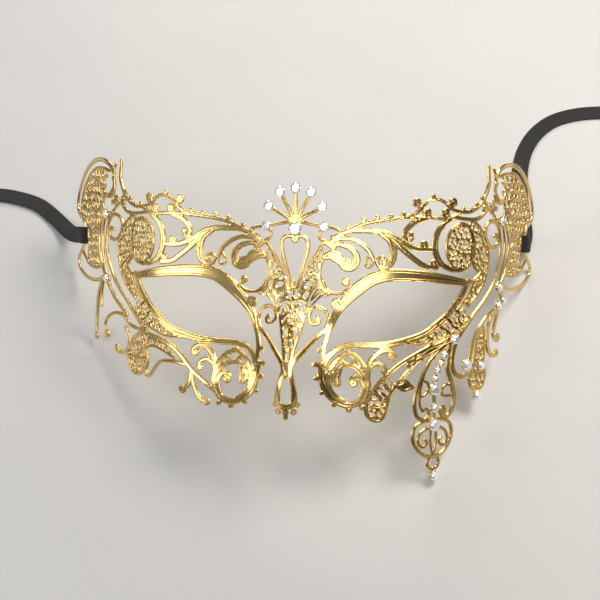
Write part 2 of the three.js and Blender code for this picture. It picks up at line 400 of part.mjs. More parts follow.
// A place on the bent sheet, x right, y back and z up, raised by height off its back face.
function onSheet(u, v, height) {
  const side = u < 0 ? "left" : "right";
  const outward = Math.abs(u);
  const angle = bendAngle(outward, side);
  const forward = lift(outward, v) + height;
  const [across, behind] = readBend(outward, side);
  const x = across + forward * Math.sin(angle);
  return new THREE.Vector3(u < 0 ? -x : x, behind - forward * Math.cos(angle), v);
}

// ---------------------------------------------------------------- flat metal
const wasm = await Module();
wasm.setup();

function toManifold(geometry) {
  geometry.deleteAttribute("normal");
  geometry.deleteAttribute("uv");
  const merged = mergeVertices(geometry, SAME_DRAWN);
  return new wasm.Manifold(new wasm.Mesh({
    numProp: 3,
    vertProperties: new Float32Array(merged.attributes.position.array),
    triVerts: new Uint32Array(merged.index.array),
  }));
}

function fromManifold(manifold) {
  const mesh = manifold.getMesh();
  const geometry = new THREE.BufferGeometry();
  geometry.setAttribute("position", new THREE.BufferAttribute(new Float32Array(mesh.vertProperties), 3));
  geometry.setIndex(new THREE.BufferAttribute(new Uint32Array(mesh.triVerts), 1));
  return geometry;
}

// One flat slab; a widened slab is also thicker, so that it cuts right through.
function slab(points, widen) {
  const spare = widen > 0 ? 1 : 0;
  const geometry = new THREE.ExtrudeGeometry(new THREE.Shape(points), {
    depth: SHEET + 2 * spare,
    bevelEnabled: false,
  });
  geometry.translate(0, 0, -spare);
  return toManifold(geometry);
}

function disc(u, v, radius, widen) {
  const curve = new THREE.EllipseCurve(u, v, radius + widen, radius + widen, 0, 2 * Math.PI);
  return slab(curve.getPoints(KNOB_SIDES).slice(0, KNOB_SIDES), widen);
}

// The samples of a curve that are needed to stay within FLATNESS of it.
function neededSamples(curve, count) {
  const fine = curve.getPoints(count);
  const kept = [0];
  let from = 0;
  for (let to = 2; to <= count; to += 1) {
    const chord = new THREE.Line3(new THREE.Vector3(fine[from].x, fine[from].y, 0),
      new THREE.Vector3(fine[to].x, fine[to].y, 0));
    let worst = 0;
    for (let i = from + 1; i < to; i += 1) {
      const sample = new THREE.Vector3(fine[i].x, fine[i].y, 0);
      worst = Math.max(worst, chord.closestPointToPoint(sample, true, new THREE.Vector3()).distanceTo(sample));
    }
    if (worst > FLATNESS) {
      from = to - 1;
      kept.push(from);
    }
  }
  kept.push(count);
  return kept.map((i) => ({ t: i / count, point: fine[i], along: curve.getTangent(i / count) }));
}

function lineSlabs(curve, widthAt, side, widen) {
  const samples = neededSamples(curve, CURVE_SAMPLES);
  const slabs = [];
  const edge = (sample, turn) => {
    const half = widthAt(sample.t) / 2 + widen;
    return new THREE.Vector2(side * (sample.point.x - turn * half * sample.along.y),
      sample.point.y + turn * half * sample.along.x);
  };
  for (let i = 0; i + 1 < samples.length; i += 2) {
    const run = samples.slice(i, Math.min(i + 3, samples.length));
    const outline = run.map((sample) => edge(sample, 1));
    outline.push(...run.reverse().map((sample) => edge(sample, -1)));
    slabs.push(slab(outline, widen));
  }
  return slabs;
}

// Every slab of one drawing, on the side given by 1 or -1.
function slabsOf(drawing, side, widen) {
  const slabs = [];
  for (const [start, middle, end, points] of drawing.lines) {
    const curve = new THREE.SplineCurve(points.map(([u, v]) => new THREE.Vector2(u, v)));
    const widthAt = (t) => (t < 0.5
      ? THREE.MathUtils.lerp(start, middle, 2 * t)
      : THREE.MathUtils.lerp(middle, end, 2 * t - 1));
    slabs.push(...lineSlabs(curve, widthAt, side, widen));
  }
  for (const [u, v, radius] of drawing.knobs) {
    slabs.push(disc(side * u, v, radius, widen));
  }
  for (const [u, v, halfWidth, halfHeight, width] of drawing.rings) {
    const ring = new THREE.EllipseCurve(u, v, halfWidth, halfHeight, 0, 2 * Math.PI);
    slabs.push(...lineSlabs(ring, () => width, side, widen));
  }
  return slabs;
}

function union(slabs) {
  let parts = slabs;
  while (parts.length > 1) {
    const next = [];
    for (let i = 0; i < parts.length; i += 2) {
      next.push(i + 1 < parts.length ? parts[i].add(parts[i + 1]) : parts[i]);
    }
    parts = next;
  }
  return parts[0];
}

// The largest connected shell of a geometry, without specks left by a cut.
function largestShell(geometry) {
  const index = Array.from(geometry.index.array);
  const owner = Array.from({ length: geometry.attributes.position.count }, (_, i) => i);
  const rootOf = (i) => {
    let root = i;
    while (owner[root] !== root) {
      owner[root] = owner[owner[root]];
      root = owner[root];
    }
    return root;
  };
  for (let i = 0; i < index.length; i += 3) {
    owner[rootOf(index[i])] = rootOf(index[i + 1]);
    owner[rootOf(index[i + 1])] = rootOf(index[i + 2]);
  }
  const sizes = new Map();
  index.forEach((vertex) => sizes.set(rootOf(vertex), (sizes.get(rootOf(vertex)) || 0) + 1));
  const [largest] = [...sizes].sort((a, b) => b[1] - a[1])[0];
  geometry.setIndex(index.filter((vertex) => rootOf(vertex) === largest));
  return geometry;
}

// Points closer together than the tolerance become one, and triangles that collapse are left out.
function welded(geometry, tolerance) {
  const merged = mergeVertices(geometry, tolerance);
  const triangles = new Map();
  const source = merged.index.array;
  for (let i = 0; i < source.length; i += 3) {
    const corners = [source[i], source[i + 1], source[i + 2]];
    if (new Set(corners).size < 3) {
      continue;
    }
    const key = [...corners].sort((a, b) => a - b).join(" ");
    if (triangles.has(key)) {
      triangles.delete(key);
    } else {
      triangles.set(key, corners);
    }
  }
  merged.setIndex([...triangles.values()].flat());
  return merged;
}

function bent(flat) {
  const shell = largestShell(welded(fromManifold(flat), WELD));
  const split = new TessellateModifier(LONGEST_EDGE, SPLIT_ROUNDS).modify(shell.toNonIndexed());
  const geometry = mergeVertices(split, SAME_SPLIT);
  const position = geometry.attributes.position;
  for (let i = 0; i < position.count; i += 1) {
    const place = onSheet(position.getX(i), position.getY(i), position.getZ(i));
    position.setXYZ(i, place.x, place.y, place.z);
  }
  geometry.computeVertexNormals();
  return geometry;
}

// ---------------------------------------------------------------- the pieces
const mask = new THREE.Group();
mask.name = "mask_frame";
mask.rotation.x = -RECLINE;

function addMesh(parent, name, geometry, finish) {
  const mesh = new THREE.Mesh(geometry, new THREE.MeshStandardMaterial(finish));
  mesh.name = name;
  parent.add(mesh);
  return mesh;
}

// Each field of the sheet is cut clear of the fields before it.
const fields = [
  ["eye_frame_left", [[EYE, -1]]],
  ["eye_frame_right", [[EYE, 1]]],
  ["centre_crest", [[CENTRE, -1], [CENTRE, 1]]],
  ["brow_scrolls_left", [[BROW, -1]]],
  ["brow_scrolls_right", [[BROW, 1]]],
  ["cheek_wheel_left", [[CHEEK, -1], [CHEEK_LEFT, -1]]],
  ["cheek_wheel_right", [[CHEEK, 1], [CHEEK_RIGHT, 1]]],
  ["temple_left", [[TEMPLE, -1], [TEMPLE_LEFT, -1]]],
  ["temple_right", [[TEMPLE, 1], [TEMPLE_RIGHT, 1]]],
  ["drop_main", [[DROP_MAIN, 1]]],
  ["drop_second", [[DROP_SECOND, 1]]],
];
const earlier = [];
for (const [name, drawings] of fields) {
  let flat = union(drawings.flatMap(([drawing, side]) => slabsOf(drawing, side, 0)));
  for (const cutter of earlier) {
    flat = flat.subtract(cutter);
  }
  addMesh(mask, name, bent(flat), GOLD);
  earlier.push(union(drawings.flatMap(([drawing, side]) => slabsOf(drawing, side, GAP))));
}

// A round faceted stone, its back GAP clear of the sheet.
function stoneGeometry(radius) {
  const profile = STONE_PROFILE.map(([r, h]) => new THREE.Vector2(r * radius, h * radius));
  return new THREE.LatheGeometry(profile, STONE_SIDES);
}

for (const [set, stones] of Object.entries(STONES)) {
  stones.forEach(([u, v, radius], i) => {
    const base = onSheet(u, v, SHEET + GAP);
    const alongU = onSheet(u + 0.5, v, SHEET + GAP).sub(onSheet(u - 0.5, v, SHEET + GAP)).normalize();
    const alongV = onSheet(u, v + 0.5, SHEET + GAP).sub(onSheet(u, v - 0.5, SHEET + GAP)).normalize();
    const outward = alongU.clone().cross(alongV).normalize();
    const stone = addMesh(mask, `stone_${set}_${i + 1}`, stoneGeometry(radius), CRYSTAL);
    stone.position.copy(base);
    stone.quaternion.setFromUnitVectors(new THREE.Vector3(0, 1, 0), outward);
  });
}

// A ribbon end folded round the rear edge of a temple, as a flat band with the edge running through it.
for (const [name, side] of [["ribbon_loop_left", -1], ["ribbon_loop_right", 1]]) {
  const slope = onSheet(side * (LOOP_U + 0.5), LOOP_V, 0).sub(onSheet(side * (LOOP_U - 0.5), LOOP_V, 0));
  const outside = new THREE.EllipseCurve(0, 0, LOOP_LONG, LOOP_DEEP, 0, 2 * Math.PI);
  const inside = new THREE.EllipseCurve(0, 0, LOOP_LONG - RIBBON_THICK, LOOP_DEEP - RIBBON_THICK, 0, 2 * Math.PI);
  const band = new THREE.Shape(outside.getPoints(LOOP_SIDES));
  band.holes.push(new THREE.Path(inside.getPoints(LOOP_SIDES)));
  const geometry = new THREE.ExtrudeGeometry(band, { depth: RIBBON_WIDE, bevelEnabled: false });
  geometry.translate(0, 0, -RIBBON_WIDE / 2);
  const loop = addMesh(mask, name, geometry, RIBBON);
  loop.position.copy(onSheet(LOOP_U * side, LOOP_V, SHEET / 2));
  loop.rotation.z = Math.atan2(slope.y * side, slope.x * side);
}

const whole = new THREE.Group();
whole.name = "masquerade_mask";
whole.add(mask);
whole.updateMatrixWorld(true);
const extent = new THREE.Box3().setFromObject(mask, true);
mask.position.x = -(extent.min.x + extent.max.x) / 2;
mask.position.y = -(extent.min.y + extent.max.y) / 2;
mask.position.z = -extent.min.z;

// The free ribbons: routes over the floor, then the roll that each one ends in.
for (const [name, route] of Object.entries(RIBBON_ROUTES)) {
  const path = new THREE.CatmullRomCurve3(route.map((point) => new THREE.Vector3(...point)), false, "centripetal");
  const corners = [[-1, -1], [1, -1], [1, 1], [-1, 1]].map(([x, y]) => {
    const corner = new THREE.Vector2(x * RIBBON_WIDE / 2, y * RIBBON_THICK / 2);
    return corner.rotateAround(new THREE.Vector2(), RIBBON_LEAN[name]);
  });
  const run = { steps: RIBBON_STEPS, extrudePath: path };
  addMesh(whole, name, new THREE.ExtrudeGeometry(new THREE.Shape(corners), run), RIBBON);
}
for (const [name, [x, y]] of Object.entries(ROLL_CENTRES)) {
  const half = ROLL_DEEP / 2;
  const profile = [[-half, 0], [half, 0], [half, RIBBON_WIDE], [-half, RIBBON_WIDE], [-half, 0]];
  const points = profile.map(([r, z]) => new THREE.Vector2(ROLL_RADIUS + r, z));
  const roll = addMesh(whole, name, new THREE.LatheGeometry(points, ROLL_SIDES), RIBBON);
  roll.rotation.x = Math.PI / 2;
  roll.position.set(x, y, 0);
}

export default whole;
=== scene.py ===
# Looks of a venetian masquerade mask: pierced brass sheet, glued stones and ribbon ties.
# The sheet is drawn flat in millimetres, u outward from the nose line and v up. It is then bent, turned
# to the part's pose and brought to metres.

import math

import bmesh
import bpy
import numpy as np
from mathutils import Matrix, Vector


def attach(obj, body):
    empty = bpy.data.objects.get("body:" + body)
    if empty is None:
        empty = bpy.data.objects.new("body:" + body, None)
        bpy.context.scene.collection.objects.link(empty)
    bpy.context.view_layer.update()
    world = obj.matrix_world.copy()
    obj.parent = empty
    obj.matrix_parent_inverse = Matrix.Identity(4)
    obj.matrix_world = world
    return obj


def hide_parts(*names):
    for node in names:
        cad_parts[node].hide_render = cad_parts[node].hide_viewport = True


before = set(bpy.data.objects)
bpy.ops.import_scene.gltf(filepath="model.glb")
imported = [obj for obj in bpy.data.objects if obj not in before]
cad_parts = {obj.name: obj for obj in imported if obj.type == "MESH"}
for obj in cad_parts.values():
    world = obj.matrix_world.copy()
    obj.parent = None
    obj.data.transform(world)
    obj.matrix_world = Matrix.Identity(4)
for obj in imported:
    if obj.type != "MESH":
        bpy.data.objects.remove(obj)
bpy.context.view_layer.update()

MM = 0.001
SHEET = 0.8                     # thickness of the brass
EDGE = 0.16                     # how far the rounded edge reaches in from the rim
CELL = 0.25                     # spacing of the grid that the flat sheet is meshed on
BEND_END = 130.0                # u at which a full bend would be complete
BEND_ANGLE = math.radians(75)
BEND_HOLD = {-1: 67.3, 1: 100.0}    # u beyond which each side's bend stops, the left side sprung open
TEMPLE_TURN = {-1: math.radians(14.5), 1: 0.0}
TEMPLE_CREASE = (86.0, 93.0)    # the stretch of u that turns by TEMPLE_TURN
BEND_SAMPLES = 261
NOSE_LIFT = 13.4                # how far the nose ridge stands forward
NOSE_WIDTH = 9.0
NOSE_TOP = 62.0                 # v below which the nose ridge rises
NOSE_SLOPE = 40.0               # v that the ridge takes to rise fully
NOSTRIL_TOP = 18.0              # v below which the ridge sinks again
NOSTRIL_SINK = 0.35
CHEEK_LIFT = 10.6               # how far the lower edge flares off the cheeks
CHEEK_WIDTH = 48.0
CHEEK_TOP = 48.0                # v below which the flare rises
CHEEK_SLOPE = 30.0
RECLINE = math.radians(55.5)    # how far the face leans back from upright
STAND = np.array([3.716, -49.831, 18.547])    # the flat drawing's origin in the part's frame
STONE_SEAT = 0.12               # how far a stone's back stands off the sheet

# ---- the drawing
# A line is [start width, middle width, end width, points], or [width, points]. A knob is [u, v, radius].
# A ring is [centre u, centre v, half width, half height, line width].

CENTRE = {"lines": [  # drawn on both halves and joined on the nose line
    [1.7, 1.5, 1.5, [[0, 79], [0, 85], [0, 91]]],
    [1.6, 1.4, 1.4, [[0.4, 79.6], [3, 84.6], [5.8, 90]]],
    [1.6, 1.4, 1.4, [[0.6, 79.4], [5, 81.8], [10, 84.6]]],
    [1.6, 1.2, 1.2, [[0.6, 79.2], [5, 78.4], [10.8, 77.3]]],
    [3, [[0, 81], [0, 72.6]]],
    [1.6, 1.5, 1.4, [[0, 73.4], [3, 73.6], [4.9, 71.6], [4.6, 67.5], [3.4, 63], [2.1, 58.5], [1.1, 54]]],
    [1.3, 1.4, 1.2, [[10.3, 70.6], [7.6, 66.6], [5.2, 62], [3.6, 57.4], [2.6, 52.5]]],
    [1.2, 1.1, 1.1, [[11.4, 66.5], [9.6, 62.6], [9.4, 58.4], [9, 55], [6.9, 52.4], [5, 49.6]]],
    [0.9, [[6.6, 64.6], [9.8, 63.2]]],
    [0.9, [[5.2, 61.4], [9.4, 60]]],
    [0.9, [[4.2, 58.2], [6.4, 57], [9.2, 57.8]]],
    [0.9, [[3.2, 55], [6.2, 54.6], [7.6, 53.4]]],
    [1.4, 1.3, 1.2, [[10.9, 72], [9.4, 73], [9.2, 75.2], [10.6, 77]]],
    [1.3, 1.4, 1.3, [[11, 77], [14, 77], [16.4, 75.8], [15.6, 73.8], [13.6, 73.8]]],
    [1.6, 1.8, 1.6, [[10.6, 71.4], [13.2, 71.6], [16, 72.6]]],
    [1.2, 1.5, 1.4, [[5, 50.4], [4.6, 45], [3.2, 38.6], [1.6, 32], [0.6, 28]]],
    [1, [[0, 57], [0, 50]]],
    [0.9, [[0, 45.4], [0, 40]]],
    [1.2, [[0, 50], [2.6, 50.4], [5, 50]]],
    [1.2, 1.1, 1.2, [[0, 46.2], [1.4, 46.6], [2.4, 45], [3.6, 42.4]]],
    [1.2, [[0, 42], [2, 41.2], [3.6, 42]]],
    [0.9, [[0, 36], [2.6, 37.6]]],
    [2.4, 1.9, 1.8, [[0.6, 27.4], [4.4, 31.4], [8, 35.4], [11, 38.4]]],
    [1.5, 1.4, 1.3, [[11.8, 38.4], [13, 42.4], [12, 46], [9.2, 47.5], [6.7, 46.2], [6.2, 43.4],
        [7.6, 41.4]]],
    [1.3, 1.2, 1.1, [[7.6, 41.4], [9.4, 41.4], [10, 43], [9, 44.2]]],
    [1.8, 1.4, 1.4, [[5, 46.4], [6.4, 45.4]]],
    [2, 2, 2.6, [[0.9, 26.4], [2.2, 22], [3, 17.6], [2.6, 14.2], [0, 13]]],
    [3, [[0, 30], [0, 25]]],
], "knobs": [[0, 80, 2.4], [0, 27.2, 2.3], [0, 9.3, 1.1], [0, 11, 1.3], [2.8, 11.2, 1.2], [4, 13.8, 1],
    [9.2, 43.2, 1], [0, 91.5, 1.7], [5.8, 90, 1.7], [10, 84.6, 1.7], [10.8, 77.3, 1.7], [0, 76.5, 2.3]]}

EYE = {"lines": [
    [1.9, 5.2, 4.6, [[13.4, 38.5], [15.6, 44.4], [19.2, 49.6], [23.6, 54.2], [29, 58], [35, 59.6],
        [42, 59.7]]],
    [4.6, 4, 2.8, [[42, 59.7], [50, 59.1], [58, 58], [65, 56.9], [68.5, 56.3]]],
    [2.6, 2.6, 2.8, [[68.5, 57], [66.5, 53], [63, 48.5], [58.5, 43.8], [53, 39.8]]],
    [3.4, 2.6, 2.2, [[55, 40.5], [49, 37.2], [42, 35.3], [35, 34.2], [28, 33.8], [22, 33.7]]],
    [2.2, 2.2, 2, [[22, 33.7], [17, 32.6], [13.5, 29.5], [12.6, 27]]],
    [2, 1.8, 2, [[12.6, 27], [11.9, 32], [13.2, 38.5]]],
    [1.3, 1.2, 1.2, [[20.4, 54.6], [18, 52.8], [14.6, 52.6], [12, 54.4], [10.8, 56.8]]],
    [1.2, 3, 1.6, [[14.4, 49.6], [16.4, 49.4], [17.6, 47.4]]],
    [1.6, 1.3, 1.2, [[21.6, 53.6], [20.2, 55.4], [19.2, 56.8]]],
    [1.4, [[42, 34.4], [50, 34.2], [58, 36.4], [64.4, 38.6], [70, 43]]],
    [1.2, [[50.4, 37.6], [52.4, 34.6]]],
    [1.2, [[54, 39.8], [57.4, 39.4], [60.4, 37.4]]],
    [1.2, [[57.8, 43.4], [60.4, 42.4], [61.8, 40.2], [64.4, 39]]],
    [1.3, 1.2, 1.2, [[61.6, 47], [64.6, 45], [64.4, 42.4], [66.4, 40.4]]],
    [1.4, [[68, 56.4], [71.4, 57.2], [75, 59.6]]],
    [1.2, 1.2, 1, [[72.6, 57.8], [70, 53.4], [66.8, 49.4], [64, 46.4]]],
], "knobs": [[19.1, 57, 1.6], [15.4, 48.4, 1.6], [10.6, 32.2, 1]]}

BROW = {"lines": [
    [1.6, 1.5, 1.5, [[16.4, 74.2], [20, 76], [24.5, 78.2], [30, 79.7], [36, 80.5], [42, 81], [48, 81.3],
        [58, 80.9]]],
    [1.6, 1.6, 1.4, [[40.6, 81], [44, 82.4], [46.6, 84.2], [45.6, 86.4]]],
    [1.3, 1.4, 1.3, [[46.6, 84.4], [49.4, 82.6], [51, 81.4]]],
    [1.3, 1.4, 1.3, [[46.8, 84.2], [49.6, 87], [53.4, 88.2], [57, 87], [60, 84.6], [64.4, 83.7]]],
    [1.6, [[58, 80.9], [61.4, 81.8], [64.4, 83.4], [68.6, 83.6], [72.6, 85.2], [75.6, 87.6]]],
    [1.8, 2, 1.5, [[75.6, 87.6], [77.8, 91], [79.2, 94.6], [78.9, 98], [78.7, 101.4]]],
    [1.6, 1.7, 1.6, [[62, 81.4], [68, 80.8], [73, 81], [77, 83.4], [78, 86.2], [75.6, 88]]],
    [2.2, 2.2, 1.4, [[49, 81], [44.6, 79.4], [41.8, 77], [40.8, 74.4], [42.2, 72.6], [44, 73.4]]],
    [2, 2.4, 2, [[14.8, 73.4], [20, 75.8], [25, 76.2], [31, 75.9], [36, 74.2], [41, 71.3], [46, 69.6],
        [53, 69.4]]],
    [2.4, 2.2, 2.2, [[36, 73.4], [40, 69.5], [45, 65.6], [49, 63.2], [54, 62.6]]],
    [2.4, 3, 2.2, [[32, 75.2], [35.4, 72.6], [36.8, 68.6], [36.4, 64.8], [34.2, 62.6]]],
    [1.9, 1.5, 1.3, [[34.2, 62.5], [31.6, 62.8], [30.6, 65], [32.2, 66.4], [34, 65.4]]],
    [1.7, 1.8, 1.6, [[16, 72.8], [20.4, 73], [24.6, 71.2], [27.6, 68.4], [29.4, 65]]],
    [1.1, [[29.4, 65], [28.4, 62.8], [26.8, 62.8], [26.4, 64.6], [28, 67.4]]],
    [1.6, 2.4, 3.4, [[12.6, 70.4], [16.6, 70.8], [20.6, 69.6], [22.9, 66.8], [22.8, 63.8], [20.6, 62.2],
        [18.6, 62.8]]],
    [2.4, 1.6, 1.3, [[18.6, 62.4], [17.6, 64], [18.8, 65.2], [20.2, 64.4]]],
    [2.4, 4.4, 3, [[11.4, 66.2], [13.6, 66.8], [16, 65.8], [18.2, 63.4]]],
    [2.4, [[12.4, 71.2], [14.4, 69.6]]],
    [2.4, 2, 2, [[13.6, 71.6], [17, 74]]],
    [2, 2.8, 2, [[59.4, 80.6], [55.4, 77.6], [53.4, 73.4], [53.6, 68], [56.4, 63.6], [61, 61.5]]],
    [1.8, 1.5, 1.3, [[61, 61.5], [65, 61.3], [68.6, 62.6], [70.4, 65]]],
    [1.5, [[70, 80.6], [74.4, 77.6], [78, 73.6], [80, 68], [80, 62.6]]],
    [1.5, 1.4, 1.4, [[80, 62.6], [78.2, 57], [74, 51.6], [69, 47.4]]],
    [1.2, [[72, 81], [68.8, 78.4], [70.2, 73.6], [70, 68.6], [70.4, 64.4], [74, 60.6]]],
    [1.1, [[70, 76.4], [75, 74.6], [77, 71], [79.6, 70]]],
    [1.1, [[70.2, 70.4], [74, 68.6], [75.4, 65], [79.8, 64]]],
    [1.2, [[70.4, 65], [74, 62.8], [77.2, 59.8], [78.8, 58.4]]],
    [1.1, [[78, 57.4], [75, 55.6], [72.6, 53.4], [74, 51.6]]],
    [1, [[76.6, 58.6], [73.6, 55.6], [69.6, 50.6], [69, 47.6]]],
    [1, [[58.6, 70], [61.4, 69.4], [63, 72.4], [65.6, 73.4], [69.8, 72]]],
    [1, [[61.6, 76.4], [62.4, 73]]],
    [1, [[60.4, 65.6], [63.4, 68], [66.6, 67.6], [70, 68]]],
    [1, [[65.4, 61.8], [65, 64.6], [66.4, 67.6]]],
], "knobs": [[19.7, 77.2, 1.1], [25.4, 79.9, 1.1], [30.5, 81, 1], [35.5, 81.5, 1], [40.2, 82.4, 1],
    [45.4, 86.8, 1.8], [49.7, 83.2, 1.7], [48.5, 82.1, 0.8], [52, 89.2, 1], [57.4, 83, 1.9], [60.6, 87, 2],
    [65.6, 84.8, 0.9], [69.2, 84.8, 0.9], [72.4, 86.6, 1], [75.2, 89.2, 1], [77.3, 85, 1.8],
    [43.3, 74.8, 1.2], [48.6, 71, 1.8], [52.6, 64, 1.6], [33.4, 64.6, 1.2], [20, 64.2, 1.4]],
    "rings": [[65, 70.4, 6.7, 8.7, 1.4]]}

CHEEK = {"lines": [
    [2.7, 2.7, 2.4, [[11.2, 26.6], [11.8, 22], [13.4, 17.4], [16.4, 14], [20.4, 12.3], [24.4, 13.4],
        [26.6, 16.4]]],
    [2.4, 2.2, 2.1, [[26.6, 16.4], [27.2, 20.6], [26.2, 25.4], [23.6, 29.4], [20.4, 31.2]]],
    [1.8, 2.4, 1.8, [[20.4, 31.2], [16.4, 28.4], [14, 24], [14, 19.4], [15.8, 16], [19, 13.8]]],
    [1.6, 1.8, 1.6, [[15.2, 22], [17.2, 25.6], [20.4, 27], [23.8, 25.6], [26.2, 22.6]]],
    [1.7, 1.6, 1.6, [[18, 28.8], [20.4, 26.8], [23.4, 28.8]]],
    [1.3, 1.5, 1.3, [[16.2, 24.4], [15.5, 22], [16.4, 19.8], [17.6, 20]]],
    [1.3, [[17.6, 20], [17.4, 23], [18.2, 26]]],
    [1.7, 2.3, 1.7, [[25, 15.4], [26, 19], [24.8, 22.2], [22.4, 22.6], [21.4, 20.8]]],
    [1.8, 2.2, 1.7, [[27, 21.6], [28, 27.4], [30.8, 31], [34.2, 32], [36.8, 30.6], [36.4, 28.8], [35, 29]]],
    [1.6, 1.8, 1.5, [[27.6, 25.4], [30.6, 27.2], [33.2, 26], [33.4, 23.8]]],
], "knobs": [[9.2, 27.4, 1], [9.8, 22.6, 1], [11.9, 17.2, 1.1], [16, 12.6, 1.1], [21, 10.6, 1.1],
    [25.4, 11.4, 1.1], [22.4, 20.4, 1.5], [35.4, 29.4, 1.3], [33, 24, 1.3], [10.4, 22.6, 1],
    [10.2, 27.2, 1]]}

CHEEK_LEFT = {"lines": [
    [1.7, 2, 2.5, [[26.6, 15.6], [31.6, 19.4], [36, 22.4], [41, 26.8], [46, 30], [53, 32.2], [59.7, 33.3]]],
    [1.5, 1.8, 1.6, [[36.2, 22.4], [35, 16.6], [32.6, 12.4], [30, 11.2]]],
    [1.5, 2, 1.6, [[36.6, 22], [37.2, 17.4], [39.4, 15]]],
    [1.6, 1.6, 1.5, [[39, 24.4], [46, 24.8], [52, 24], [56, 20.6], [58.8, 17.6], [61.6, 18]]],
    [1.3, [[45, 26.4], [52, 28.6], [58, 29.4], [62.4, 27.6]]],
    [1.8, 1.8, 1.6, [[58, 33.2], [64, 34], [69, 31.6], [72, 28.2], [76, 25], [81, 25]]],
    [1.6, 1.6, 1.5, [[73.4, 27.6], [72.6, 31], [75, 34.6]]],
    [1.3, [[55.4, 32.4], [56.4, 29.4]]],
    [1.3, [[60, 33], [60.6, 29]]],
    [1.3, [[64.4, 33.8], [63.6, 28], [66.6, 24], [66, 17.4]]],
    [1.3, [[60, 24.4], [66.6, 24], [73, 24.6]]],
], "knobs": [[30, 11.4, 1.5], [40.2, 14.8, 1.7], [61.4, 18.6, 1.2], [81, 26.2, 1.7], [75, 34.6, 1.2]],
    "rings": [[66.8, 23.6, 6.6, 6.2, 1.5]]}

CHEEK_RIGHT = {"lines": [
    [1.5, 1.6, 1.7, [[26.6, 13], [29.4, 18.4], [33.4, 22.8], [38, 26.4], [44, 29.6], [52, 33]]],
    [1.6, 1.6, 1.5, [[26.8, 12.4], [27.2, 8.6], [30, 6.4], [32.6, 7.4], [34.2, 12], [35, 16], [38, 20.4],
        [45, 27.2]]],
    [2.2, 3.8, 2.2, [[42, 26.4], [49, 30.2], [56, 33], [60, 35.4]]],
    [1.5, [[29.6, 17.6], [31.6, 14.6], [34, 13.6]]],
    [1.5, [[27.6, 12.4], [30.6, 11.2], [34, 12]]],
    [1.5, [[32.6, 21.6], [33.8, 18.6], [36, 18]]],
    [1.3, [[30.6, 11.2], [30, 6.8]]],
    [1.7, 4.9, 1.6, [[37, 19.4], [41, 18.8], [43.6, 18]]],
], "knobs": [[48, 28.4, 0.9], [52.6, 30.8, 0.9], [56.8, 33, 0.9]]}

TEMPLE = {"lines": [
    [1.5, 1.6, 1.8, [[83.6, 74.2], [85.6, 74.6], [86.2, 72], [84.4, 70.2], [81.4, 70.2], [78.6, 72.6],
        [77.6, 76.2]]],
    [1.6, 1.7, 1.7, [[77.4, 76.2], [79.6, 79.4], [83.4, 80], [86.8, 77.2], [88.4, 72], [88.4, 66],
        [86.6, 60.2]]],
    [1.7, 1.8, 1.6, [[86.6, 60.2], [83.4, 54.8], [79, 50], [73.6, 45.2], [69.4, 41]]],
    [1.8, [[84.2, 80.2], [88.6, 80.6]]],
    [1.3, 1.5, 1.3, [[86.4, 80.2], [90, 77.4], [92, 72], [91.8, 65.6], [90, 60], [87.8, 55]]],
    [1.6, 1.8, 1.6, [[88.6, 80.6], [93, 77.6], [95.8, 72], [95.6, 65.6], [93, 59.6], [89, 54.6]]],
    [1.4, [[79.6, 84.6], [82.4, 82.8], [84.6, 80.6]]],
    [1.6, 1.4, 1.2, [[81.8, 86.4], [84, 85]]],
    [1.4, 1.2, 1.2, [[82.2, 83.2], [81.8, 86.2]]],
    [1.2, [[82, 100.4], [83.6, 97.4], [83.6, 94]]],
    [1.4, 3, 1.4, [[83.6, 94.4], [83.6, 90.4], [86.2, 87.6], [90.4, 88.2]]],
    [1.8, 1.9, 1.9, [[83.6, 96.4], [86.4, 100], [92, 102], [100, 102], [108, 99.6], [115, 95],
        [120.4, 88.4]]],
    [1.9, 1.8, 1.8, [[120.4, 88.4], [122.2, 83.6], [120.6, 80], [115.8, 77.6], [113.7, 73.6], [113.9, 67.6],
        [118, 63.4]]],
    [1.8, 1.7, 1.6, [[118, 63.4], [121, 60.4], [119.6, 56.8], [113, 53.8], [105, 52.6], [97, 52.8],
        [91, 54.6]]],
    [1.2, 1.4, 1.4, [[86, 97.4], [92, 98.8], [100, 98.6], [107, 96], [113, 91.4], [116.8, 85.4],
        [117.4, 79]]],
    [1.3, [[89.8, 88], [92.6, 92], [98, 93.8], [103.6, 91.4], [105.8, 86.4], [103, 81.8], [98, 80.8]]],
    [1.3, 1.2, 1.2, [[98, 80.8], [94.4, 83.4], [94.8, 87], [98, 88.6], [100.4, 86.6]]],
    [1.3, [[90, 88], [91.6, 84], [89.8, 79.8]]],
    [1.3, [[105.8, 86.4], [111, 84.2], [112.6, 79], [109, 74.6], [104, 73], [99, 74.4], [95.6, 73]]],
    [1.3, [[104, 73], [106, 68], [103.6, 63.8], [99, 62.8], [95, 64.2]]],
    [1.3, 1.2, 1.3, [[112.6, 79.4], [116.6, 78.6]]],
    [1.3, 1.2, 1.3, [[109, 74.6], [109.2, 70], [108, 65.6], [109.6, 59.4]]],
    [1.3, [[100, 98.6], [99, 93.6]]],
    [1.3, [[112, 92.2], [108.4, 89.4], [105.4, 88]]],
    [1.3, [[98, 80.8], [98.6, 77.4], [98, 74.4]]],
    [1.3, 1.4, 1.4, [[92.6, 58.8], [99.4, 57.8], [107, 58.6], [112.6, 61.6], [116.6, 64.4]]],
    [2, [[88, 54], [92, 54.2]]],
    [1.4, [[99.4, 63], [99.6, 58]]],
], "knobs": [[88.5, 80, 2.1], [88, 54, 2.1], [81.6, 86.4, 1.8], [84.2, 85, 1.2], [83.6, 97.4, 1.2],
    [83.8, 94.4, 1.3]]}

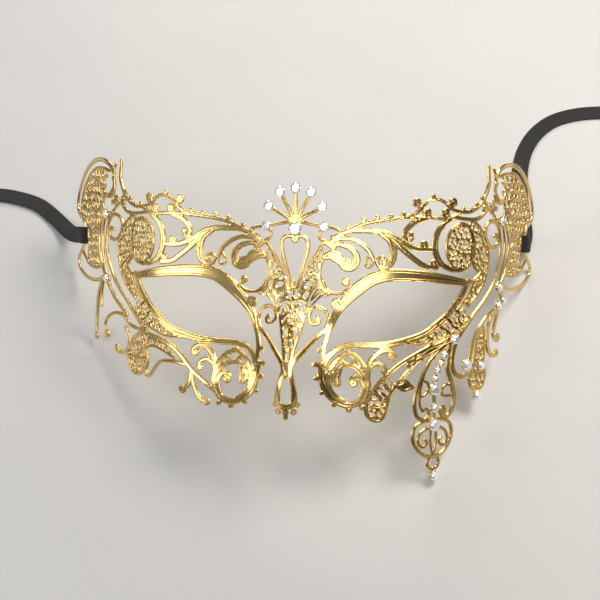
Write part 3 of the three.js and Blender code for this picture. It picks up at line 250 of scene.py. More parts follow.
TEMPLE_LEFT = {"lines": [
    [1.8, 2, 2, [[88, 53.4], [83.6, 47.6], [78, 43], [74.6, 40.2]]],
    [1.6, [[69.8, 41.4], [66.4, 38.4], [62.8, 35.6]]],
    [1.5, [[61.6, 35.6], [67.6, 35.4], [73, 37], [76.6, 39.8], [82, 40.4], [86.8, 38.6], [89.4, 35.2],
        [88.8, 32]]],
    [1.8, 2.8, 1.6, [[92.6, 54], [96.4, 47.4], [98.4, 39], [98.8, 31]]],
    [1.4, 1.4, 1.2, [[90.6, 54], [92.8, 48], [93, 42.4]]],
], "knobs": [[88, 31.4, 1.8], [98.8, 29.6, 1.9]]}

TEMPLE_RIGHT = {"lines": [
    [1.8, 2, 2.1, [[69.6, 41.2], [65.6, 36.6], [62.8, 31.6], [61.8, 26.6], [62.8, 22.4], [66, 20.4],
        [69, 21.4]]],
    [1.8, 1.6, 1.6, [[69, 21.4], [69, 24.6]]],
    [2.1, 2.8, 2.3, [[88, 54], [90.6, 49.6], [88.4, 45.6], [84, 43.6]]],
    [1.7, 1.6, 1.4, [[85, 45], [80, 42.6], [76, 39.2], [73, 34.6], [71.4, 30], [70.4, 26]]],
    [1.6, 2, 1.8, [[85.4, 44.6], [82, 40.4], [80.8, 35.2], [81.4, 30.4], [83.8, 27.4], [87.2, 27.4]]],
    [1.6, 2, 1.8, [[88.4, 45], [86.2, 40], [85, 36], [86.6, 33.4], [88, 33.6]]],
], "knobs": [[69, 24.8, 2.2], [87.6, 28, 1.5], [88, 34, 1.9], [91.4, 48.6, 1.9], [87.8, 46.8, 1.9]]}

DROP_MAIN = {"lines": [
    [1.8, 1.7, 1.7, [[63, 35], [57, 32], [52.6, 28.6], [49, 24], [46, 18], [44.6, 12], [45.6, 7],
        [48.4, 5.2]]],
    [1.7, 1.5, 1.5, [[48.4, 5.2], [51, 6.6], [50.4, 9], [48.6, 9]]],
    [1.1, 1.2, 1.1, [[48.8, 22.8], [47, 17.4], [46.8, 11.6], [48.2, 8.4]]],
    [1.8, 2.2, 1.9, [[60.8, 33.6], [59.8, 28], [59.6, 23.6], [61.6, 18.6], [63, 13.4], [62.4, 8.8],
        [59.6, 5.6], [57, 6.4]]],
    [1.6, 1.5, 1.3, [[57, 6.4], [56, 8.6], [58.2, 9.6]]],
    [1.3, 1.2, 1.2, [[48, 20.2], [50.2, 19], [50.4, 16.4], [48.6, 14.6], [46.8, 14.2]]],
    [1.3, 1.2, 1.3, [[62, 17.4], [58.8, 17.8], [57, 16], [57.6, 13.8], [62.4, 13.6]]],
    [1.8, 1.7, 1.7, [[59.8, 31.2], [58, 28.8], [56.4, 26], [54.6, 23.4], [53.6, 20.2], [53, 16.5],
        [53.4, 12.4], [53.6, 9.4]]],
    [1.7, 1.6, 1.6, [[53.6, 9.4], [53.4, 6], [53.2, 3]]],
    [1.5, 1.6, 1.6, [[53.2, 4.6], [48.8, 4.8], [45, 2.6], [44.2, -1.6], [46, -5.6], [49.4, -8.4],
        [53.4, -9.4]]],
    [1.5, 1.6, 1.6, [[53.2, 4.6], [57.6, 4.8], [61.4, 2.6], [62.2, -1.6], [60.4, -5.6], [57.2, -8.4],
        [53.4, -9.4]]],
    [1.5, 1.3, 1.2, [[52.6, 1.4], [49.6, 1.6], [46.8, -0.6], [46.6, -3.8], [49, -5.2], [50.4, -3.6],
        [49.2, -2.2]]],
    [1.5, 1.3, 1.2, [[53.8, 1.4], [56.8, 1.6], [59.6, -0.6], [59.8, -3.8], [57.4, -5.2], [56, -3.6],
        [57.2, -2.2]]],
    [1.3, 1.1, 1.1, [[52.2, 2], [52, -3.4], [53.3, -8.8]]],
    [1.3, 1.1, 1.1, [[54.4, 2], [54.6, -3.4], [53.5, -8.8]]],
    [1.5, 1.5, 2, [[53.6, -13.6], [54, -16.6]]],
], "knobs": [[63, 35, 1.8], [58, 29, 1.6], [56.4, 26, 1.5], [54.6, 23.4, 1.6], [53.6, 20.2, 1.6],
    [53, 16.5, 2.4], [53.6, 9.4, 2], [53.3, 3, 2.5], [53.8, 1.3, 0.8], [54, -16.6, 2], [58.2, 8, 1.3]],
    "rings": [[53.5, -11.6, 2.7, 2.5, 1.3]]}

DROP_SECOND = {"lines": [
    [1.6, [[78.2, 38.6], [79, 31], [78.8, 25], [80, 20.4], [78.6, 16.2], [75.2, 14.6], [72, 16],
        [70.8, 19.4]]],
    [1.6, [[70.8, 19.4], [72.4, 22.6], [73, 27], [74.2, 33], [76.4, 37.6], [78.2, 38.6]]],
    [1.3, 1.2, 1.2, [[72.4, 22.6], [75, 21], [79.6, 21]]],
    [1.2, [[75, 21], [74.2, 18.4], [76.4, 17]]],
    [1.2, [[73.6, 30], [76.2, 29.4], [79, 31.6]]],
    [1.2, [[74.8, 34.6], [79, 34.4]]],
    [1.2, [[73, 26.4], [76, 25.4], [79, 26.4]]],
    [1.6, 1.6, 1.8, [[75.2, 14.8], [75.4, 12.6]]],
], "knobs": [[77, 24, 2], [75.4, 12.5, 2]]}

# Stones: [u, v, radius]. A negative u is on the left of the mask.
STONES = {
    "fan": [[0, 91.5, 2.1], [-5.8, 90, 2.1], [5.8, 90, 2.1], [-10, 84.6, 2.1], [10, 84.6, 2.1],
        [-10.8, 77.3, 2], [10.8, 77.3, 2], [0, 76.4, 2.8]],
    "temple": [[-88.5, 80, 1.6], [-88, 54, 1.6], [88.5, 80, 1.6], [88, 54, 1.6], [91.4, 48.6, 1.6],
        [87.8, 46.8, 1.6]],
    "drop": [[63, 35, 1.8], [58, 29, 1.6], [56.4, 26, 1.3], [54.6, 23.4, 1.5], [53.6, 20.2, 1.5],
        [53, 16.5, 2.2], [53.6, 9.4, 1.9], [53.3, 3, 2.6], [54, -16.6, 2], [69, 24.8, 2.3], [77, 24, 1.9],
        [75.4, 12.5, 2]],
}

# Meshwork: an outline filled with metal and pierced by small slots, each a [width, points] stroke.
WING = [[10.2, 70.4], [8, 66.6], [5.8, 62.8], [4.2, 59.8], [3, 57], [2, 54], [1.2, 51.5], [0, 51.5],
    [0, 45], [4.6, 45], [6, 46.2], [8.4, 48.4], [11, 50.8], [14, 52], [12, 53.8], [10.8, 56], [10, 59],
    [10.2, 63], [10.9, 67]]
WING_SLOTS = [[0.9, [[9.8, 68], [8.8, 64.6]]], [0.9, [[7.6, 63.6], [8.3, 60.8]]], [1.5, [[6, 61.2]]],
    [1.7, [[4.3, 58.4]]], [1.4, [[7.2, 58.4]]], [2.2, [[5.3, 55.6]]], [1.8, [[4.6, 52]]],
    [1.4, [[1.4, 51.4]]], [0.6, [[8.5, 57], [8.8, 54.6], [7.4, 53.4]]], [0.5, [[9.6, 54], [10.6, 52.6]]],
    [0.6, [[9.6, 52.2], [6.2, 48.4]]], [0.6, [[11.6, 52], [7, 47.4]]], [0.5, [[7.4, 53.4], [5.8, 50]]],
    [0.8, [[0.9, 48.9], [2.4, 49.3], [4.2, 48.4]]], [0.9, [[2.2, 46.2], [2.6, 47.6], [3.8, 47.4],
    [4.6, 45.4]]], [1.4, [[0, 46.2]]], [0.5, [[5.5, 49.4], [5.7, 47.4]]]]
CONE = [[0, 45], [5.2, 45], [4.4, 41], [3.4, 37], [2.2, 33], [1, 29], [0, 28.6]]
CONE_SLOTS = [[0.9, [[0.9, 44.2]]], [0.7, [[2.2, 43.8], [3.2, 42.4]]], [1.6, [[0, 42.6]]],
    [0.6, [[1.4, 39.6], [1.7, 37.8]]], [0.7, [[2.6, 40], [2.2, 37.6]]], [0.5, [[0.9, 36], [1, 34.4]]],
    [0.6, [[0, 32.6], [0, 29.6]]]]
LID = [[45, 36], [52, 39], [58, 43], [63, 48], [68, 46], [70, 43.6], [64, 39], [58, 36.8], [50, 34.8]]
TAIL = [[70, 79], [75, 77], [79, 73], [80, 66], [79, 60], [76, 55], [71, 50], [66, 46], [68, 50], [72, 56],
    [75, 60], [71, 64], [70, 70]]
PANEL = [[87, 96.8], [92, 98.4], [100, 98.2], [107, 95.6], [112.6, 91], [116.4, 85], [117, 79.4],
    [112.8, 78.4], [109, 74.6], [109.2, 70], [108, 65.6], [109.6, 59.6], [107, 58.8], [99.4, 58],
    [94, 59.4], [95.8, 65.6], [96, 72], [93.4, 77.6], [90, 81], [90.4, 84], [90, 88.4]]
STRIP = [[45, 26.4], [52, 28.6], [58, 29.4], [62.4, 27.6], [64, 33.6], [58, 33.2], [50, 31.2]]
POUCH = [[27.2, 12.4], [27.4, 8.6], [30, 6.8], [32.4, 7.8], [34.2, 12], [35, 16], [36.4, 22.4],
    [33.4, 22.4], [29.6, 18.2]]
SECOND = [[78, 38], [78.8, 31], [78.6, 25], [79.8, 20.4], [78.4, 16.4], [75.2, 15], [72.2, 16.2],
    [71.2, 19.4], [72.8, 22.6], [73.4, 27], [74.6, 33], [76.6, 37.4]]
ROUND_POINTS = 36


def round_outline(u, v, half_width, half_height):
    turn = np.linspace(0, 2 * math.pi, ROUND_POINTS, endpoint=False)
    return np.stack([u + half_width * np.cos(turn), v + half_height * np.sin(turn)], 1)


# Each mesh is (outline, slots, slot spacing). Slots that are given also cut the drawn lines. With none
# given, rows of short turned slots are used, which leave the lines whole.
MESHES = {
    "eye_frame": [(LID, None, 2.3)],
    "centre_crest": [(WING, WING_SLOTS, 0), (CONE, CONE_SLOTS, 0)],
    "brow_scrolls": [(round_outline(65, 70.4, 6.7, 8.7), None, 2.5), (TAIL, None, 2.4)],
    "temple": [(PANEL, None, 3.7)],
    "cheek_left": [(round_outline(66.8, 23.6, 6.4, 6.0), None, 2.4), (STRIP, None, 2.4)],
    "cheek_right": [(POUCH, None, 2.4)],
    "drop_second": [(SECOND, None, 2.4)],
}

# Which drawings make each field of the sheet, and on which side of the nose line.
FIELDS = {
    "eye_frame_left": [(EYE, MESHES["eye_frame"], -1)],
    "eye_frame_right": [(EYE, MESHES["eye_frame"], 1)],
    "centre_crest": [(CENTRE, MESHES["centre_crest"], -1), (CENTRE, MESHES["centre_crest"], 1)],
    "brow_scrolls_left": [(BROW, MESHES["brow_scrolls"], -1)],
    "brow_scrolls_right": [(BROW, MESHES["brow_scrolls"], 1)],
    "cheek_wheel_left": [(CHEEK, [], -1), (CHEEK_LEFT, MESHES["cheek_left"], -1)],
    "cheek_wheel_right": [(CHEEK, [], 1), (CHEEK_RIGHT, MESHES["cheek_right"], 1)],
    "temple_left": [(TEMPLE, MESHES["temple"], -1), (TEMPLE_LEFT, [], -1)],
    "temple_right": [(TEMPLE, MESHES["temple"], 1), (TEMPLE_RIGHT, [], 1)],
    "drop_main": [(DROP_MAIN, [], 1)],
    "drop_second": [(DROP_SECOND, MESHES["drop_second"], 1)],
}

# ---- camera, floor and light
CAMERA_AIM = Vector((5.92, -8.83, 46.72)) * MM
CAMERA_AZIMUTH = math.radians(11.70)
CAMERA_ELEVATION = math.radians(60.01)
CAMERA_ROLL = math.radians(-8.68)
CAMERA_AWAY = 0.430
CAMERA_ANGLE = math.radians(29.3)
LIGHT_AIM = (0.0, 0.0, 0.03)
LIGHTS = {                      # place and size in metres, power in watts, colour
    "key": ((0.35, 0.25, 0.55), (0.30, 0.30), 7.0, (1.0, 0.95, 0.87)),
    "front": ((0.10, -0.42, 0.62), (0.45, 0.20), 1.6, (1.0, 0.98, 0.95)),
    "fill": ((-0.55, -0.15, 0.40), (0.40, 0.50), 3.0, (0.93, 0.96, 1.0)),
    "rim": ((-0.10, 0.60, 0.30), (0.50, 0.15), 3.0, (1.0, 0.97, 0.92)),
}
WORLD_LOW = (0.35, (0.15, 0.15, 0.155, 1))      # place on the height ramp, colour
WORLD_HIGH = (0.95, (0.85, 0.86, 0.88, 1))
WORLD_STRENGTH = 0.45
EXPOSURE = -0.6
FLOOR_HALF = 1.2


def place_camera():
    away = Vector((math.sin(CAMERA_AZIMUTH) * math.cos(CAMERA_ELEVATION),
                   -math.cos(CAMERA_AZIMUTH) * math.cos(CAMERA_ELEVATION),
                   math.sin(CAMERA_ELEVATION)))
    data = bpy.data.cameras.new("camera")
    data.angle = CAMERA_ANGLE
    camera = bpy.data.objects.new("camera", data)
    turn = away.to_track_quat("Z", "Y").to_matrix() @ Matrix.Rotation(CAMERA_ROLL, 3, "Z")
    camera.matrix_world = Matrix.Translation(CAMERA_AIM + away * CAMERA_AWAY) @ turn.to_4x4()
    bpy.context.scene.collection.objects.link(camera)
    bpy.context.scene.camera = camera


def add_area(name, place, size, power, colour):
    data = bpy.data.lights.new(name, "AREA")
    data.shape = "RECTANGLE"
    data.size, data.size_y = size
    data.energy = power
    data.color = colour
    light = bpy.data.objects.new(name, data)
    light.location = place
    light.rotation_euler = (Vector(place) - Vector(LIGHT_AIM)).to_track_quat("Z", "Y").to_euler()
    bpy.context.scene.collection.objects.link(light)


def light_world():
    """A soft surround that is darker at the horizon than overhead."""
    world = bpy.data.worlds.new("studio")
    world.use_nodes = True
    tree = world.node_tree
    tree.nodes.clear()
    out = tree.nodes.new("ShaderNodeOutputWorld")
    shade = tree.nodes.new("ShaderNodeBackground")
    ramp = tree.nodes.new("ShaderNodeValToRGB")
    split = tree.nodes.new("ShaderNodeSeparateXYZ")
    place = tree.nodes.new("ShaderNodeTexCoord")
    for element, (position, colour) in zip(ramp.color_ramp.elements, (WORLD_LOW, WORLD_HIGH)):
        element.position = position
        element.color = colour
    shade.inputs["Strength"].default_value = WORLD_STRENGTH
    tree.links.new(place.outputs["Generated"], split.inputs[0])
    tree.links.new(split.outputs["Z"], ramp.inputs[0])
    tree.links.new(ramp.outputs[0], shade.inputs["Color"])
    tree.links.new(shade.outputs[0], out.inputs["Surface"])
    bpy.context.scene.world = world


def light_scene():
    for name, settings in LIGHTS.items():
        add_area(name, *settings)
    light_world()
    bpy.context.scene.view_settings.view_transform = "Standard"
    bpy.context.scene.view_settings.look = "Medium Contrast"
    bpy.context.scene.view_settings.exposure = EXPOSURE


# ---- materials
class Shader:
    """A node material built one node at a time."""

    def __init__(self, name):
        self.material = bpy.data.materials.new(name)
        self.material.use_nodes = True
        self.tree = self.material.node_tree
        self.surface = self.tree.nodes["Principled BSDF"]

    def add(self, kind, links=None, **values):
        node = self.tree.nodes.new(kind)
        for key, value in values.items():
            setattr(node, key, value)
        for socket, source in (links or {}).items():
            self.feed(node, socket, source)
        return node

    def feed(self, node, socket, source):
        if hasattr(source, "is_output"):
            self.tree.links.new(source, node.inputs[socket])
        else:
            node.inputs[socket].default_value = source

    def math(self, operation, a, b=0.0, c=0.0):
        return self.add("ShaderNodeMath", {0: a, 1: b, 2: c}, operation=operation).outputs[0]

    def blend(self, factor, low, high):
        node = self.add("ShaderNodeMix", data_type="RGBA")
        for socket, source in ((0, factor), (6, low), (7, high)):
            self.feed(node, socket, source)
        return node.outputs[2]

    def spread(self, value, low, high, start, end):
        """Value from low..high onto start..end, held at the ends."""
        node = self.add("ShaderNodeMapRange", {0: value, 1: low, 2: high, 3: start, 4: end})
        return node.outputs[0]

    def noise(self, scale, detail=4.0):
        place = self.add("ShaderNodeTexCoord")
        links = {"Vector": place.outputs["Object"], "Scale": scale, "Detail": detail}
        return self.add("ShaderNodeTexNoise", links).outputs[0]

    def attribute(self, name):
        return self.add("ShaderNodeAttribute", attribute_name=name).outputs["Fac"]

    def set(self, **values):
        for key, value in values.items():
            self.feed(self.surface, key.replace("_", " "), value)


def groove(shader, depth, centre, width):
    """1 on a line that runs a fixed distance in from the rim, and 0 away from it."""
    off = shader.math("ABSOLUTE", shader.math("SUBTRACT", depth, centre))
    return shader.spread(off, width * 0.4, width, 1.0, 0.0)


GROOVES = ((0.42, 0.15), (1.15, 0.17))          # distance in from the rim and half width of each groove
RELIEF = 0.00012                # depth of the materials' relief in metres
RIB_SPACING = 0.75              # of the ribbon's weave, in millimetres


def brass_material():
    shader = Shader("polished_brass")
    rim = shader.attribute("rim")
    lines = shader.math("MAXIMUM", *[groove(shader, rim, *place) for place in GROOVES])
    cloud = shader.noise(220.0)
    fine = shader.noise(2600.0, 2.0)
    warm = shader.blend(cloud, (0.89, 0.60, 0.19, 1), (0.97, 0.74, 0.31, 1))
    # The grooves are tinted dark brown: painted shade in the engraved grooves, on top of the bump below
    # that sinks them.
    shader.set(Base_Color=shader.blend(shader.math("MULTIPLY", lines, 0.75), warm, (0.30, 0.15, 0.03, 1)))
    shader.set(Metallic=1.0)
    shader.set(Roughness=shader.spread(fine, 0.3, 0.7, 0.13, 0.27))
    relief = shader.math("MULTIPLY_ADD", lines, -1.0, shader.math("MULTIPLY", cloud, 0.15))
    bump = shader.add("ShaderNodeBump", {"Strength": 0.7, "Distance": RELIEF, "Height": relief})
    shader.set(Normal=bump.outputs[0])
    return shader.material


def crystal_material():
    shader = Shader("foiled_crystal")
    cloud = shader.noise(900.0, 2.0)
    shader.set(Base_Color=shader.blend(cloud, (0.92, 0.95, 0.98, 1), (1.0, 1.0, 1.0, 1)))
    shader.set(Metallic=0.8, Coat_Weight=1.0, Coat_Roughness=0.02)
    # The faint emission is painted light: a glow that stands in for the stones' glints.
    shader.set(Emission_Color=(1.0, 0.98, 0.95, 1), Emission_Strength=0.15)
    shader.set(Roughness=shader.spread(cloud, 0.3, 0.7, 0.04, 0.14))
    return shader.material


def ribbon_material():
    shader = Shader("black_grosgrain")
    along = shader.attribute("along")
    edge = shader.attribute("edge")
    rib = shader.math("SINE", shader.math("MULTIPLY", along, 2 * math.pi / RIB_SPACING))
    ribs = shader.math("MULTIPLY", rib, shader.spread(edge, 0.0, 0.5, 0.2, 1.0))
    fuzz = shader.noise(3200.0, 3.0)
    shade = shader.math("MULTIPLY_ADD", ribs, 0.3, fuzz)
    weave = shader.spread(shade, 0.2, 0.9, 0.0, 1.0)
    shader.set(Base_Color=shader.blend(weave, (0.002, 0.002, 0.002, 1), (0.012, 0.011, 0.011, 1)))
    shader.set(Roughness=shader.spread(fuzz, 0.3, 0.7, 0.5, 0.75), Sheen_Weight=0.06, Sheen_Roughness=0.4)
    height = shader.math("MULTIPLY_ADD", fuzz, 0.3, ribs)
    bump = shader.add("ShaderNodeBump", {"Strength": 0.8, "Distance": RELIEF, "Height": height})
    shader.set(Normal=bump.outputs[0])
    return shader.material


def floor_material():
    shader = Shader("pale_floor")
    cloud = shader.noise(14.0)
    shader.set(Base_Color=shader.blend(cloud, (0.47, 0.465, 0.46, 1), (0.52, 0.515, 0.51, 1)))
    shader.set(Roughness=0.6)
    return shader.material


# ---- the bend
def smooth(x):
    x = np.clip(x, 0.0, 1.0)
    return x * x * (3 - 2 * x)


def bend_angle(u, side):
    crease, flat = TEMPLE_CREASE
    bend = BEND_ANGLE * smooth(np.minimum(u, BEND_HOLD[side]) / BEND_END)
    return bend + TEMPLE_TURN[side] * smooth((u - crease) / (flat - crease))


BEND_U = np.linspace(0, BEND_END, BEND_SAMPLES)
BEND_MIDDLE = (BEND_U[1:] + BEND_U[:-1]) / 2
BEND_STEP = BEND_U[1] - BEND_U[0]


def run_out(turn, side):
    """How far the bent sheet has come, out or back, at each of BEND_U."""
    return np.concatenate([[0], np.cumsum(turn(bend_angle(BEND_MIDDLE, side)) * BEND_STEP)])


ACROSS = {side: run_out(np.cos, side) for side in (-1, 1)}
BEHIND = {side: run_out(np.sin, side) for side in (-1, 1)}


def lift(u, v):
    """How far the sheet stands forward of the plain bend, for the nose ridge and the cheek flare."""
    nose = NOSE_LIFT * smooth((NOSE_TOP - v) / NOSE_SLOPE) * np.exp(-(u / NOSE_WIDTH) ** 2)
    nostril = 1 - NOSTRIL_SINK * smooth((NOSTRIL_TOP - v) / NOSTRIL_TOP)
    cheek = CHEEK_LIFT * smooth((CHEEK_TOP - v) / CHEEK_SLOPE) * np.exp(-(u / CHEEK_WIDTH) ** 4)
    return nose * nostril + cheek


def on_sheet(u, v, height):
    """Places on the bent sheet in the part's frame, in metres, raised by height off its back face."""
    u, v, height = np.broadcast_arrays(*[np.asarray(value, float) for value in (u, v, height)])
    outward = np.abs(u)
    forward = lift(outward, v) + height
    places = []
    for side in (-1, 1):
        angle = bend_angle(outward, side)
        x = side * (np.interp(outward, BEND_U, ACROSS[side]) + forward * np.sin(angle))
        places.append((x, np.interp(outward, BEND_U, BEHIND[side]) - forward * np.cos(angle)))
    x, y = np.where(u < 0, places[0], places[1])
    turned_y = y * math.cos(RECLINE) + v * math.sin(RECLINE)
    turned_z = v * math.cos(RECLINE) - y * math.sin(RECLINE)
    return (np.stack([x, turned_y, turned_z], -1) + STAND) * MM


# ---- the flat sheet
U_LOW, U_HIGH = -127.0, 127.0
V_LOW, V_HIGH = -20.0, 105.0
GRID_U = np.arange(U_LOW, U_HIGH, CELL)
GRID_V = np.arange(V_LOW, V_HIGH, CELL)
FAR = 3.0                       # distances to the metal are kept up to this far from it
LEAST_DEPTH = 0.05              # of a cell inside the metal
BOX_MARGIN = 1.0                # kept round an outline
SPAN_STEPS = 12                 # samples between two points of a drawn line
STROKE_GAP = 0.2                # distance between the discs that make up a line
RING_STEPS = 240
SLOT_STEPS = 8
SLOT_GAP = 0.15
SLOT_TURN = math.radians(137.5)
SLOT_ROW = 0.87                 # row height, width and half length of a short slot, in slot spacings
SLOT_WIDTH = 0.5
SLOT_REACH = 0.2


def spline(points, count):
    """A Catmull-Rom curve through the points."""
    p = np.array(points, float)
    p = np.vstack([p[0], p, p[-1]])
    t = np.linspace(0, 1, count, endpoint=False)[:, None]
    spans = []
    for a, b, c, d in zip(p[:-3], p[1:-2], p[2:-1], p[3:]):
        spans.append(0.5 * (2 * b + (c - a) * t + (2 * a - 5 * b + 4 * c - d) * t ** 2
                            + (3 * b - a - 3 * c + d) * t ** 3))
    spans.append(p[-1:])
    return np.vstack(spans)


def stamp(field, u, v, radius):
    """Lowers the distance field to that of a disc, near the disc."""
    reach = radius + FAR
    i0, i1 = np.searchsorted(GRID_U, [u - reach, u + reach])
    j0, j1 = np.searchsorted(GRID_V, [v - reach, v + reach])
    away = np.hypot(GRID_U[i0:i1, None] - u, GRID_V[None, j0:j1] - v) - radius
    np.minimum(field[i0:i1, j0:j1], away, out=field[i0:i1, j0:j1])


def stamp_path(field, path, widths, side):
    for (u, v), width in zip(path, widths):
        stamp(field, side * u, v, width / 2)


def lengths(path):
    """The length of each step of a path."""
    return np.linalg.norm(np.diff(path, axis=0), axis=1)


def even(path, gap):
    """The path again, with points about a gap apart."""
    run = np.concatenate([[0], np.cumsum(lengths(path))])
    want = np.linspace(0, run[-1], max(2, int(run[-1] / gap) + 1))
    return np.stack([np.interp(want, run, path[:, k]) for k in range(path.shape[1])], 1)


def outline_field(outline, side):
    """Distance to an outline over the grid, below zero inside it."""
    field = np.full((len(GRID_U), len(GRID_V)), FAR)
    corners = np.array(outline, float) * (side, 1)
    low = corners.min(axis=0) - BOX_MARGIN
    high = corners.max(axis=0) + BOX_MARGIN
    i0, i1 = np.searchsorted(GRID_U, [low[0], high[0]])
    j0, j1 = np.searchsorted(GRID_V, [low[1], high[1]])
    u, v = GRID_U[i0:i1, None], GRID_V[None, j0:j1]
    away = np.full((i1 - i0, j1 - j0), FAR)
    inside = np.zeros(away.shape, bool)
    for (au, av), (bu, bv) in zip(corners, np.roll(corners, -1, axis=0)):
        du, dv = bu - au, bv - av
        share = np.clip(((u - au) * du + (v - av) * dv) / (du * du + dv * dv), 0, 1)
        away = np.minimum(away, np.hypot(u - au - share * du, v - av - share * dv))
        if av != bv:
            inside ^= ((av > v) != (bv > v)) & (u < au + (v - av) * du / dv)
    field[i0:i1, j0:j1] = np.where(inside, -away, away)
    return field


def short_slots(outline, spacing):
    """Rows of short slots over an outline's box, each turned a golden angle on from the one before."""
    low = np.min(outline, axis=0)
    high = np.max(outline, axis=0)
    slots = []
    for row, v in enumerate(np.arange(low[1], high[1], spacing * SLOT_ROW)):
        for u in np.arange(low[0] + (row % 2) * spacing / 2, high[0], spacing):
            turn = len(slots) * SLOT_TURN
            half = np.array([math.cos(turn), math.sin(turn)]) * spacing * SLOT_REACH
            slots.append([spacing * SLOT_WIDTH, [(u, v) - half, (u, v) + half]])
    return slots


def pierced_field(slots, side):
    """Distance to the nearest slot over the grid."""
    field = np.full((len(GRID_U), len(GRID_V)), FAR)
    for width, points in slots:
        path = even(spline(points, SLOT_STEPS), SLOT_GAP)
        stamp_path(field, path, np.full(len(path), width), side)
    return field


def line_widths(widths, count):
    """The width at each of a line's points, from the one or the three that are drawn."""
    if len(widths) == 1:
        return np.full(count, widths[0])
    return np.interp(np.linspace(0, 1, count), [0, 0.5, 1], widths)


def distance_field(drawings):
    """Distance to the edge of the metal over the grid, in millimetres, and below zero inside it."""
    field = np.full((len(GRID_U), len(GRID_V)), FAR)
    for drawing, meshes, side in drawings:
        for *widths, points in drawing["lines"]:
            path = even(spline(points, SPAN_STEPS), STROKE_GAP)
            stamp_path(field, path, line_widths(widths, len(path)), side)
        for u, v, half_width, half_height, width in drawing.get("rings", ()):
            turn = np.linspace(0, 2 * math.pi, RING_STEPS)
            path = np.stack([u + half_width * np.cos(turn), v + half_height * np.sin(turn)], 1)
            stamp_path(field, path, np.full(len(path), width), side)
        for u, v, radius in drawing["knobs"]:
            stamp(field, side * u, v, radius)
        for outline, slots, spacing in meshes:
            plate = outline_field(outline, side)
            if slots:
                field = np.maximum(np.minimum(field, plate), -pierced_field(slots, side))
            else:
                plate = np.maximum(plate, -pierced_field(short_slots(outline, spacing), side))
                field = np.minimum(field, plate)
    return field


def edge_crossings(field):
    """For each grid cell, the middle of the places where the metal's edge crosses its sides."""
    total = np.zeros((field.shape[0] - 1, field.shape[1] - 1, 2))
    count = np.zeros(total.shape[:2])

    def add(a, b, base, step, rows, columns):
        crosses = (a < 0) != (b < 0)
        share = np.where(crosses, a / np.where(crosses, a - b, 1), 0)
        for k in range(2):
            total[rows, columns, k] += np.where(crosses, base[k] + step[k] * share, 0)
        count[rows, columns] += crosses

    everything = slice(None)
    add(field[:-1, :-1], field[1:, :-1], (0, 0), (1, 0), everything, everything)
    add(field[:-1, 1:], field[1:, 1:], (0, 1), (1, 0), everything, everything)
    add(field[:-1, :-1], field[:-1, 1:], (0, 0), (0, 1), everything, everything)
    add(field[1:, :-1], field[1:, 1:], (1, 0), (0, 1), everything, everything)
    middle = np.where(count[..., None] > 0, total / np.maximum(count, 1)[..., None], 0.5)
    return middle, count > 0


def build_sheet(material):
    """Meshes the whole sheet at once and shares it out among its fields."""
    names = list(FIELDS)
    fields = np.stack([distance_field(FIELDS[name]) for name in names])
    owner = fields.argmin(0)
    field = fields.min(0)
    inside = field < 0
    middle, on_edge = edge_crossings(field)
    cell_u = GRID_U[:-1, None] + middle[..., 0] * CELL
    cell_v = GRID_V[None, :-1] + middle[..., 1] * CELL
    near = (field[:-1, :-1] + field[1:, :-1] + field[:-1, 1:] + field[1:, 1:]) / 4
    depth = np.where(on_edge, 0.0, np.maximum(-near, LEAST_DEPTH))
    rounding = EDGE * (1 - np.sqrt(1 - (1 - np.clip(depth / EDGE, 0, 1)) ** 2))
    front = on_sheet(cell_u, cell_v, SHEET - rounding)
    back = on_sheet(cell_u, cell_v, rounding)
    rows, columns = np.nonzero(inside[1:-1, 1:-1])
    rows, columns = rows + 1, columns + 1
    width = middle.shape[1]
    here = rows * width + columns
    quads = np.stack([here - width - 1, here - 1, here, here - width], 1)
    walls = []
    wall_owner = []
    # each neighbour of a cell, and the two corners between them
    for di, dj, a, b in ((0, -1, 0, 1), (1, 0, 1, 2), (0, 1, 2, 3), (-1, 0, 3, 0)):
        open_side = ~inside[rows + di, columns + dj]
        walls.append(np.stack([quads[open_side, a], quads[open_side, b]], 1))
        wall_owner.append(owner[rows, columns][open_side])
    walls = np.concatenate(walls)
    wall_owner = np.concatenate(wall_owner)
    offset = middle.shape[0] * width
    every = np.concatenate([front.reshape(-1, 3), back.reshape(-1, 3)])
    rims = np.concatenate([depth.ravel(), np.zeros(offset)])
    for number, name in enumerate(names):
        mine = quads[owner[rows, columns] == number]
        side = walls[wall_owner == number]
        strip = [side[:, 1], side[:, 0], side[:, 0] + offset, side[:, 1] + offset]
        faces = np.concatenate([mine, mine[:, ::-1] + offset, np.stack(strip, 1)])
        used, faces = np.unique(faces, return_inverse=True)
        sheet = mesh_object(f"{name}_sheet", every[used], faces.reshape(-1, 4), material)
        store(sheet, "rim", rims[used])
        sheet.data.shade_smooth()
        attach(sheet, "root")
        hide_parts(name)


def mesh_object(name, vertices, faces, material):
    mesh = bpy.data.meshes.new(name)
    mesh.vertices.add(len(vertices))
    mesh.vertices.foreach_set("co", np.asarray(vertices, np.float32).ravel())
    sides = faces.shape[1]
    mesh.loops.add(faces.size)
    mesh.loops.foreach_set("vertex_index", faces.astype(np.int32).ravel())
    mesh.polygons.add(len(faces))
    mesh.polygons.foreach_set("loop_start", np.arange(0, faces.size, sides, dtype=np.int32))
    mesh.update(calc_edges=True)
    mesh.validate()
    mesh.materials.append(material)
    obj = bpy.data.objects.new(name, mesh)
    bpy.context.scene.collection.objects.link(obj)
    return obj


def store(obj, name, values):
    attribute = obj.data.attributes.new(name, "FLOAT", "POINT")
    attribute.data.foreach_set("value", np.asarray(values, np.float32))


# ---- stones
STONE_SIDES = 12
STONE_RINGS = (                 # from the table down: radius and height in stone radii, turn in sides
    (0.60, 0.60, 0.0), (0.84, 0.42, 0.5), (0.99, 0.20, 0.0), (0.99, 0.10, 0.0), (0.84, 0.0, 0.5))


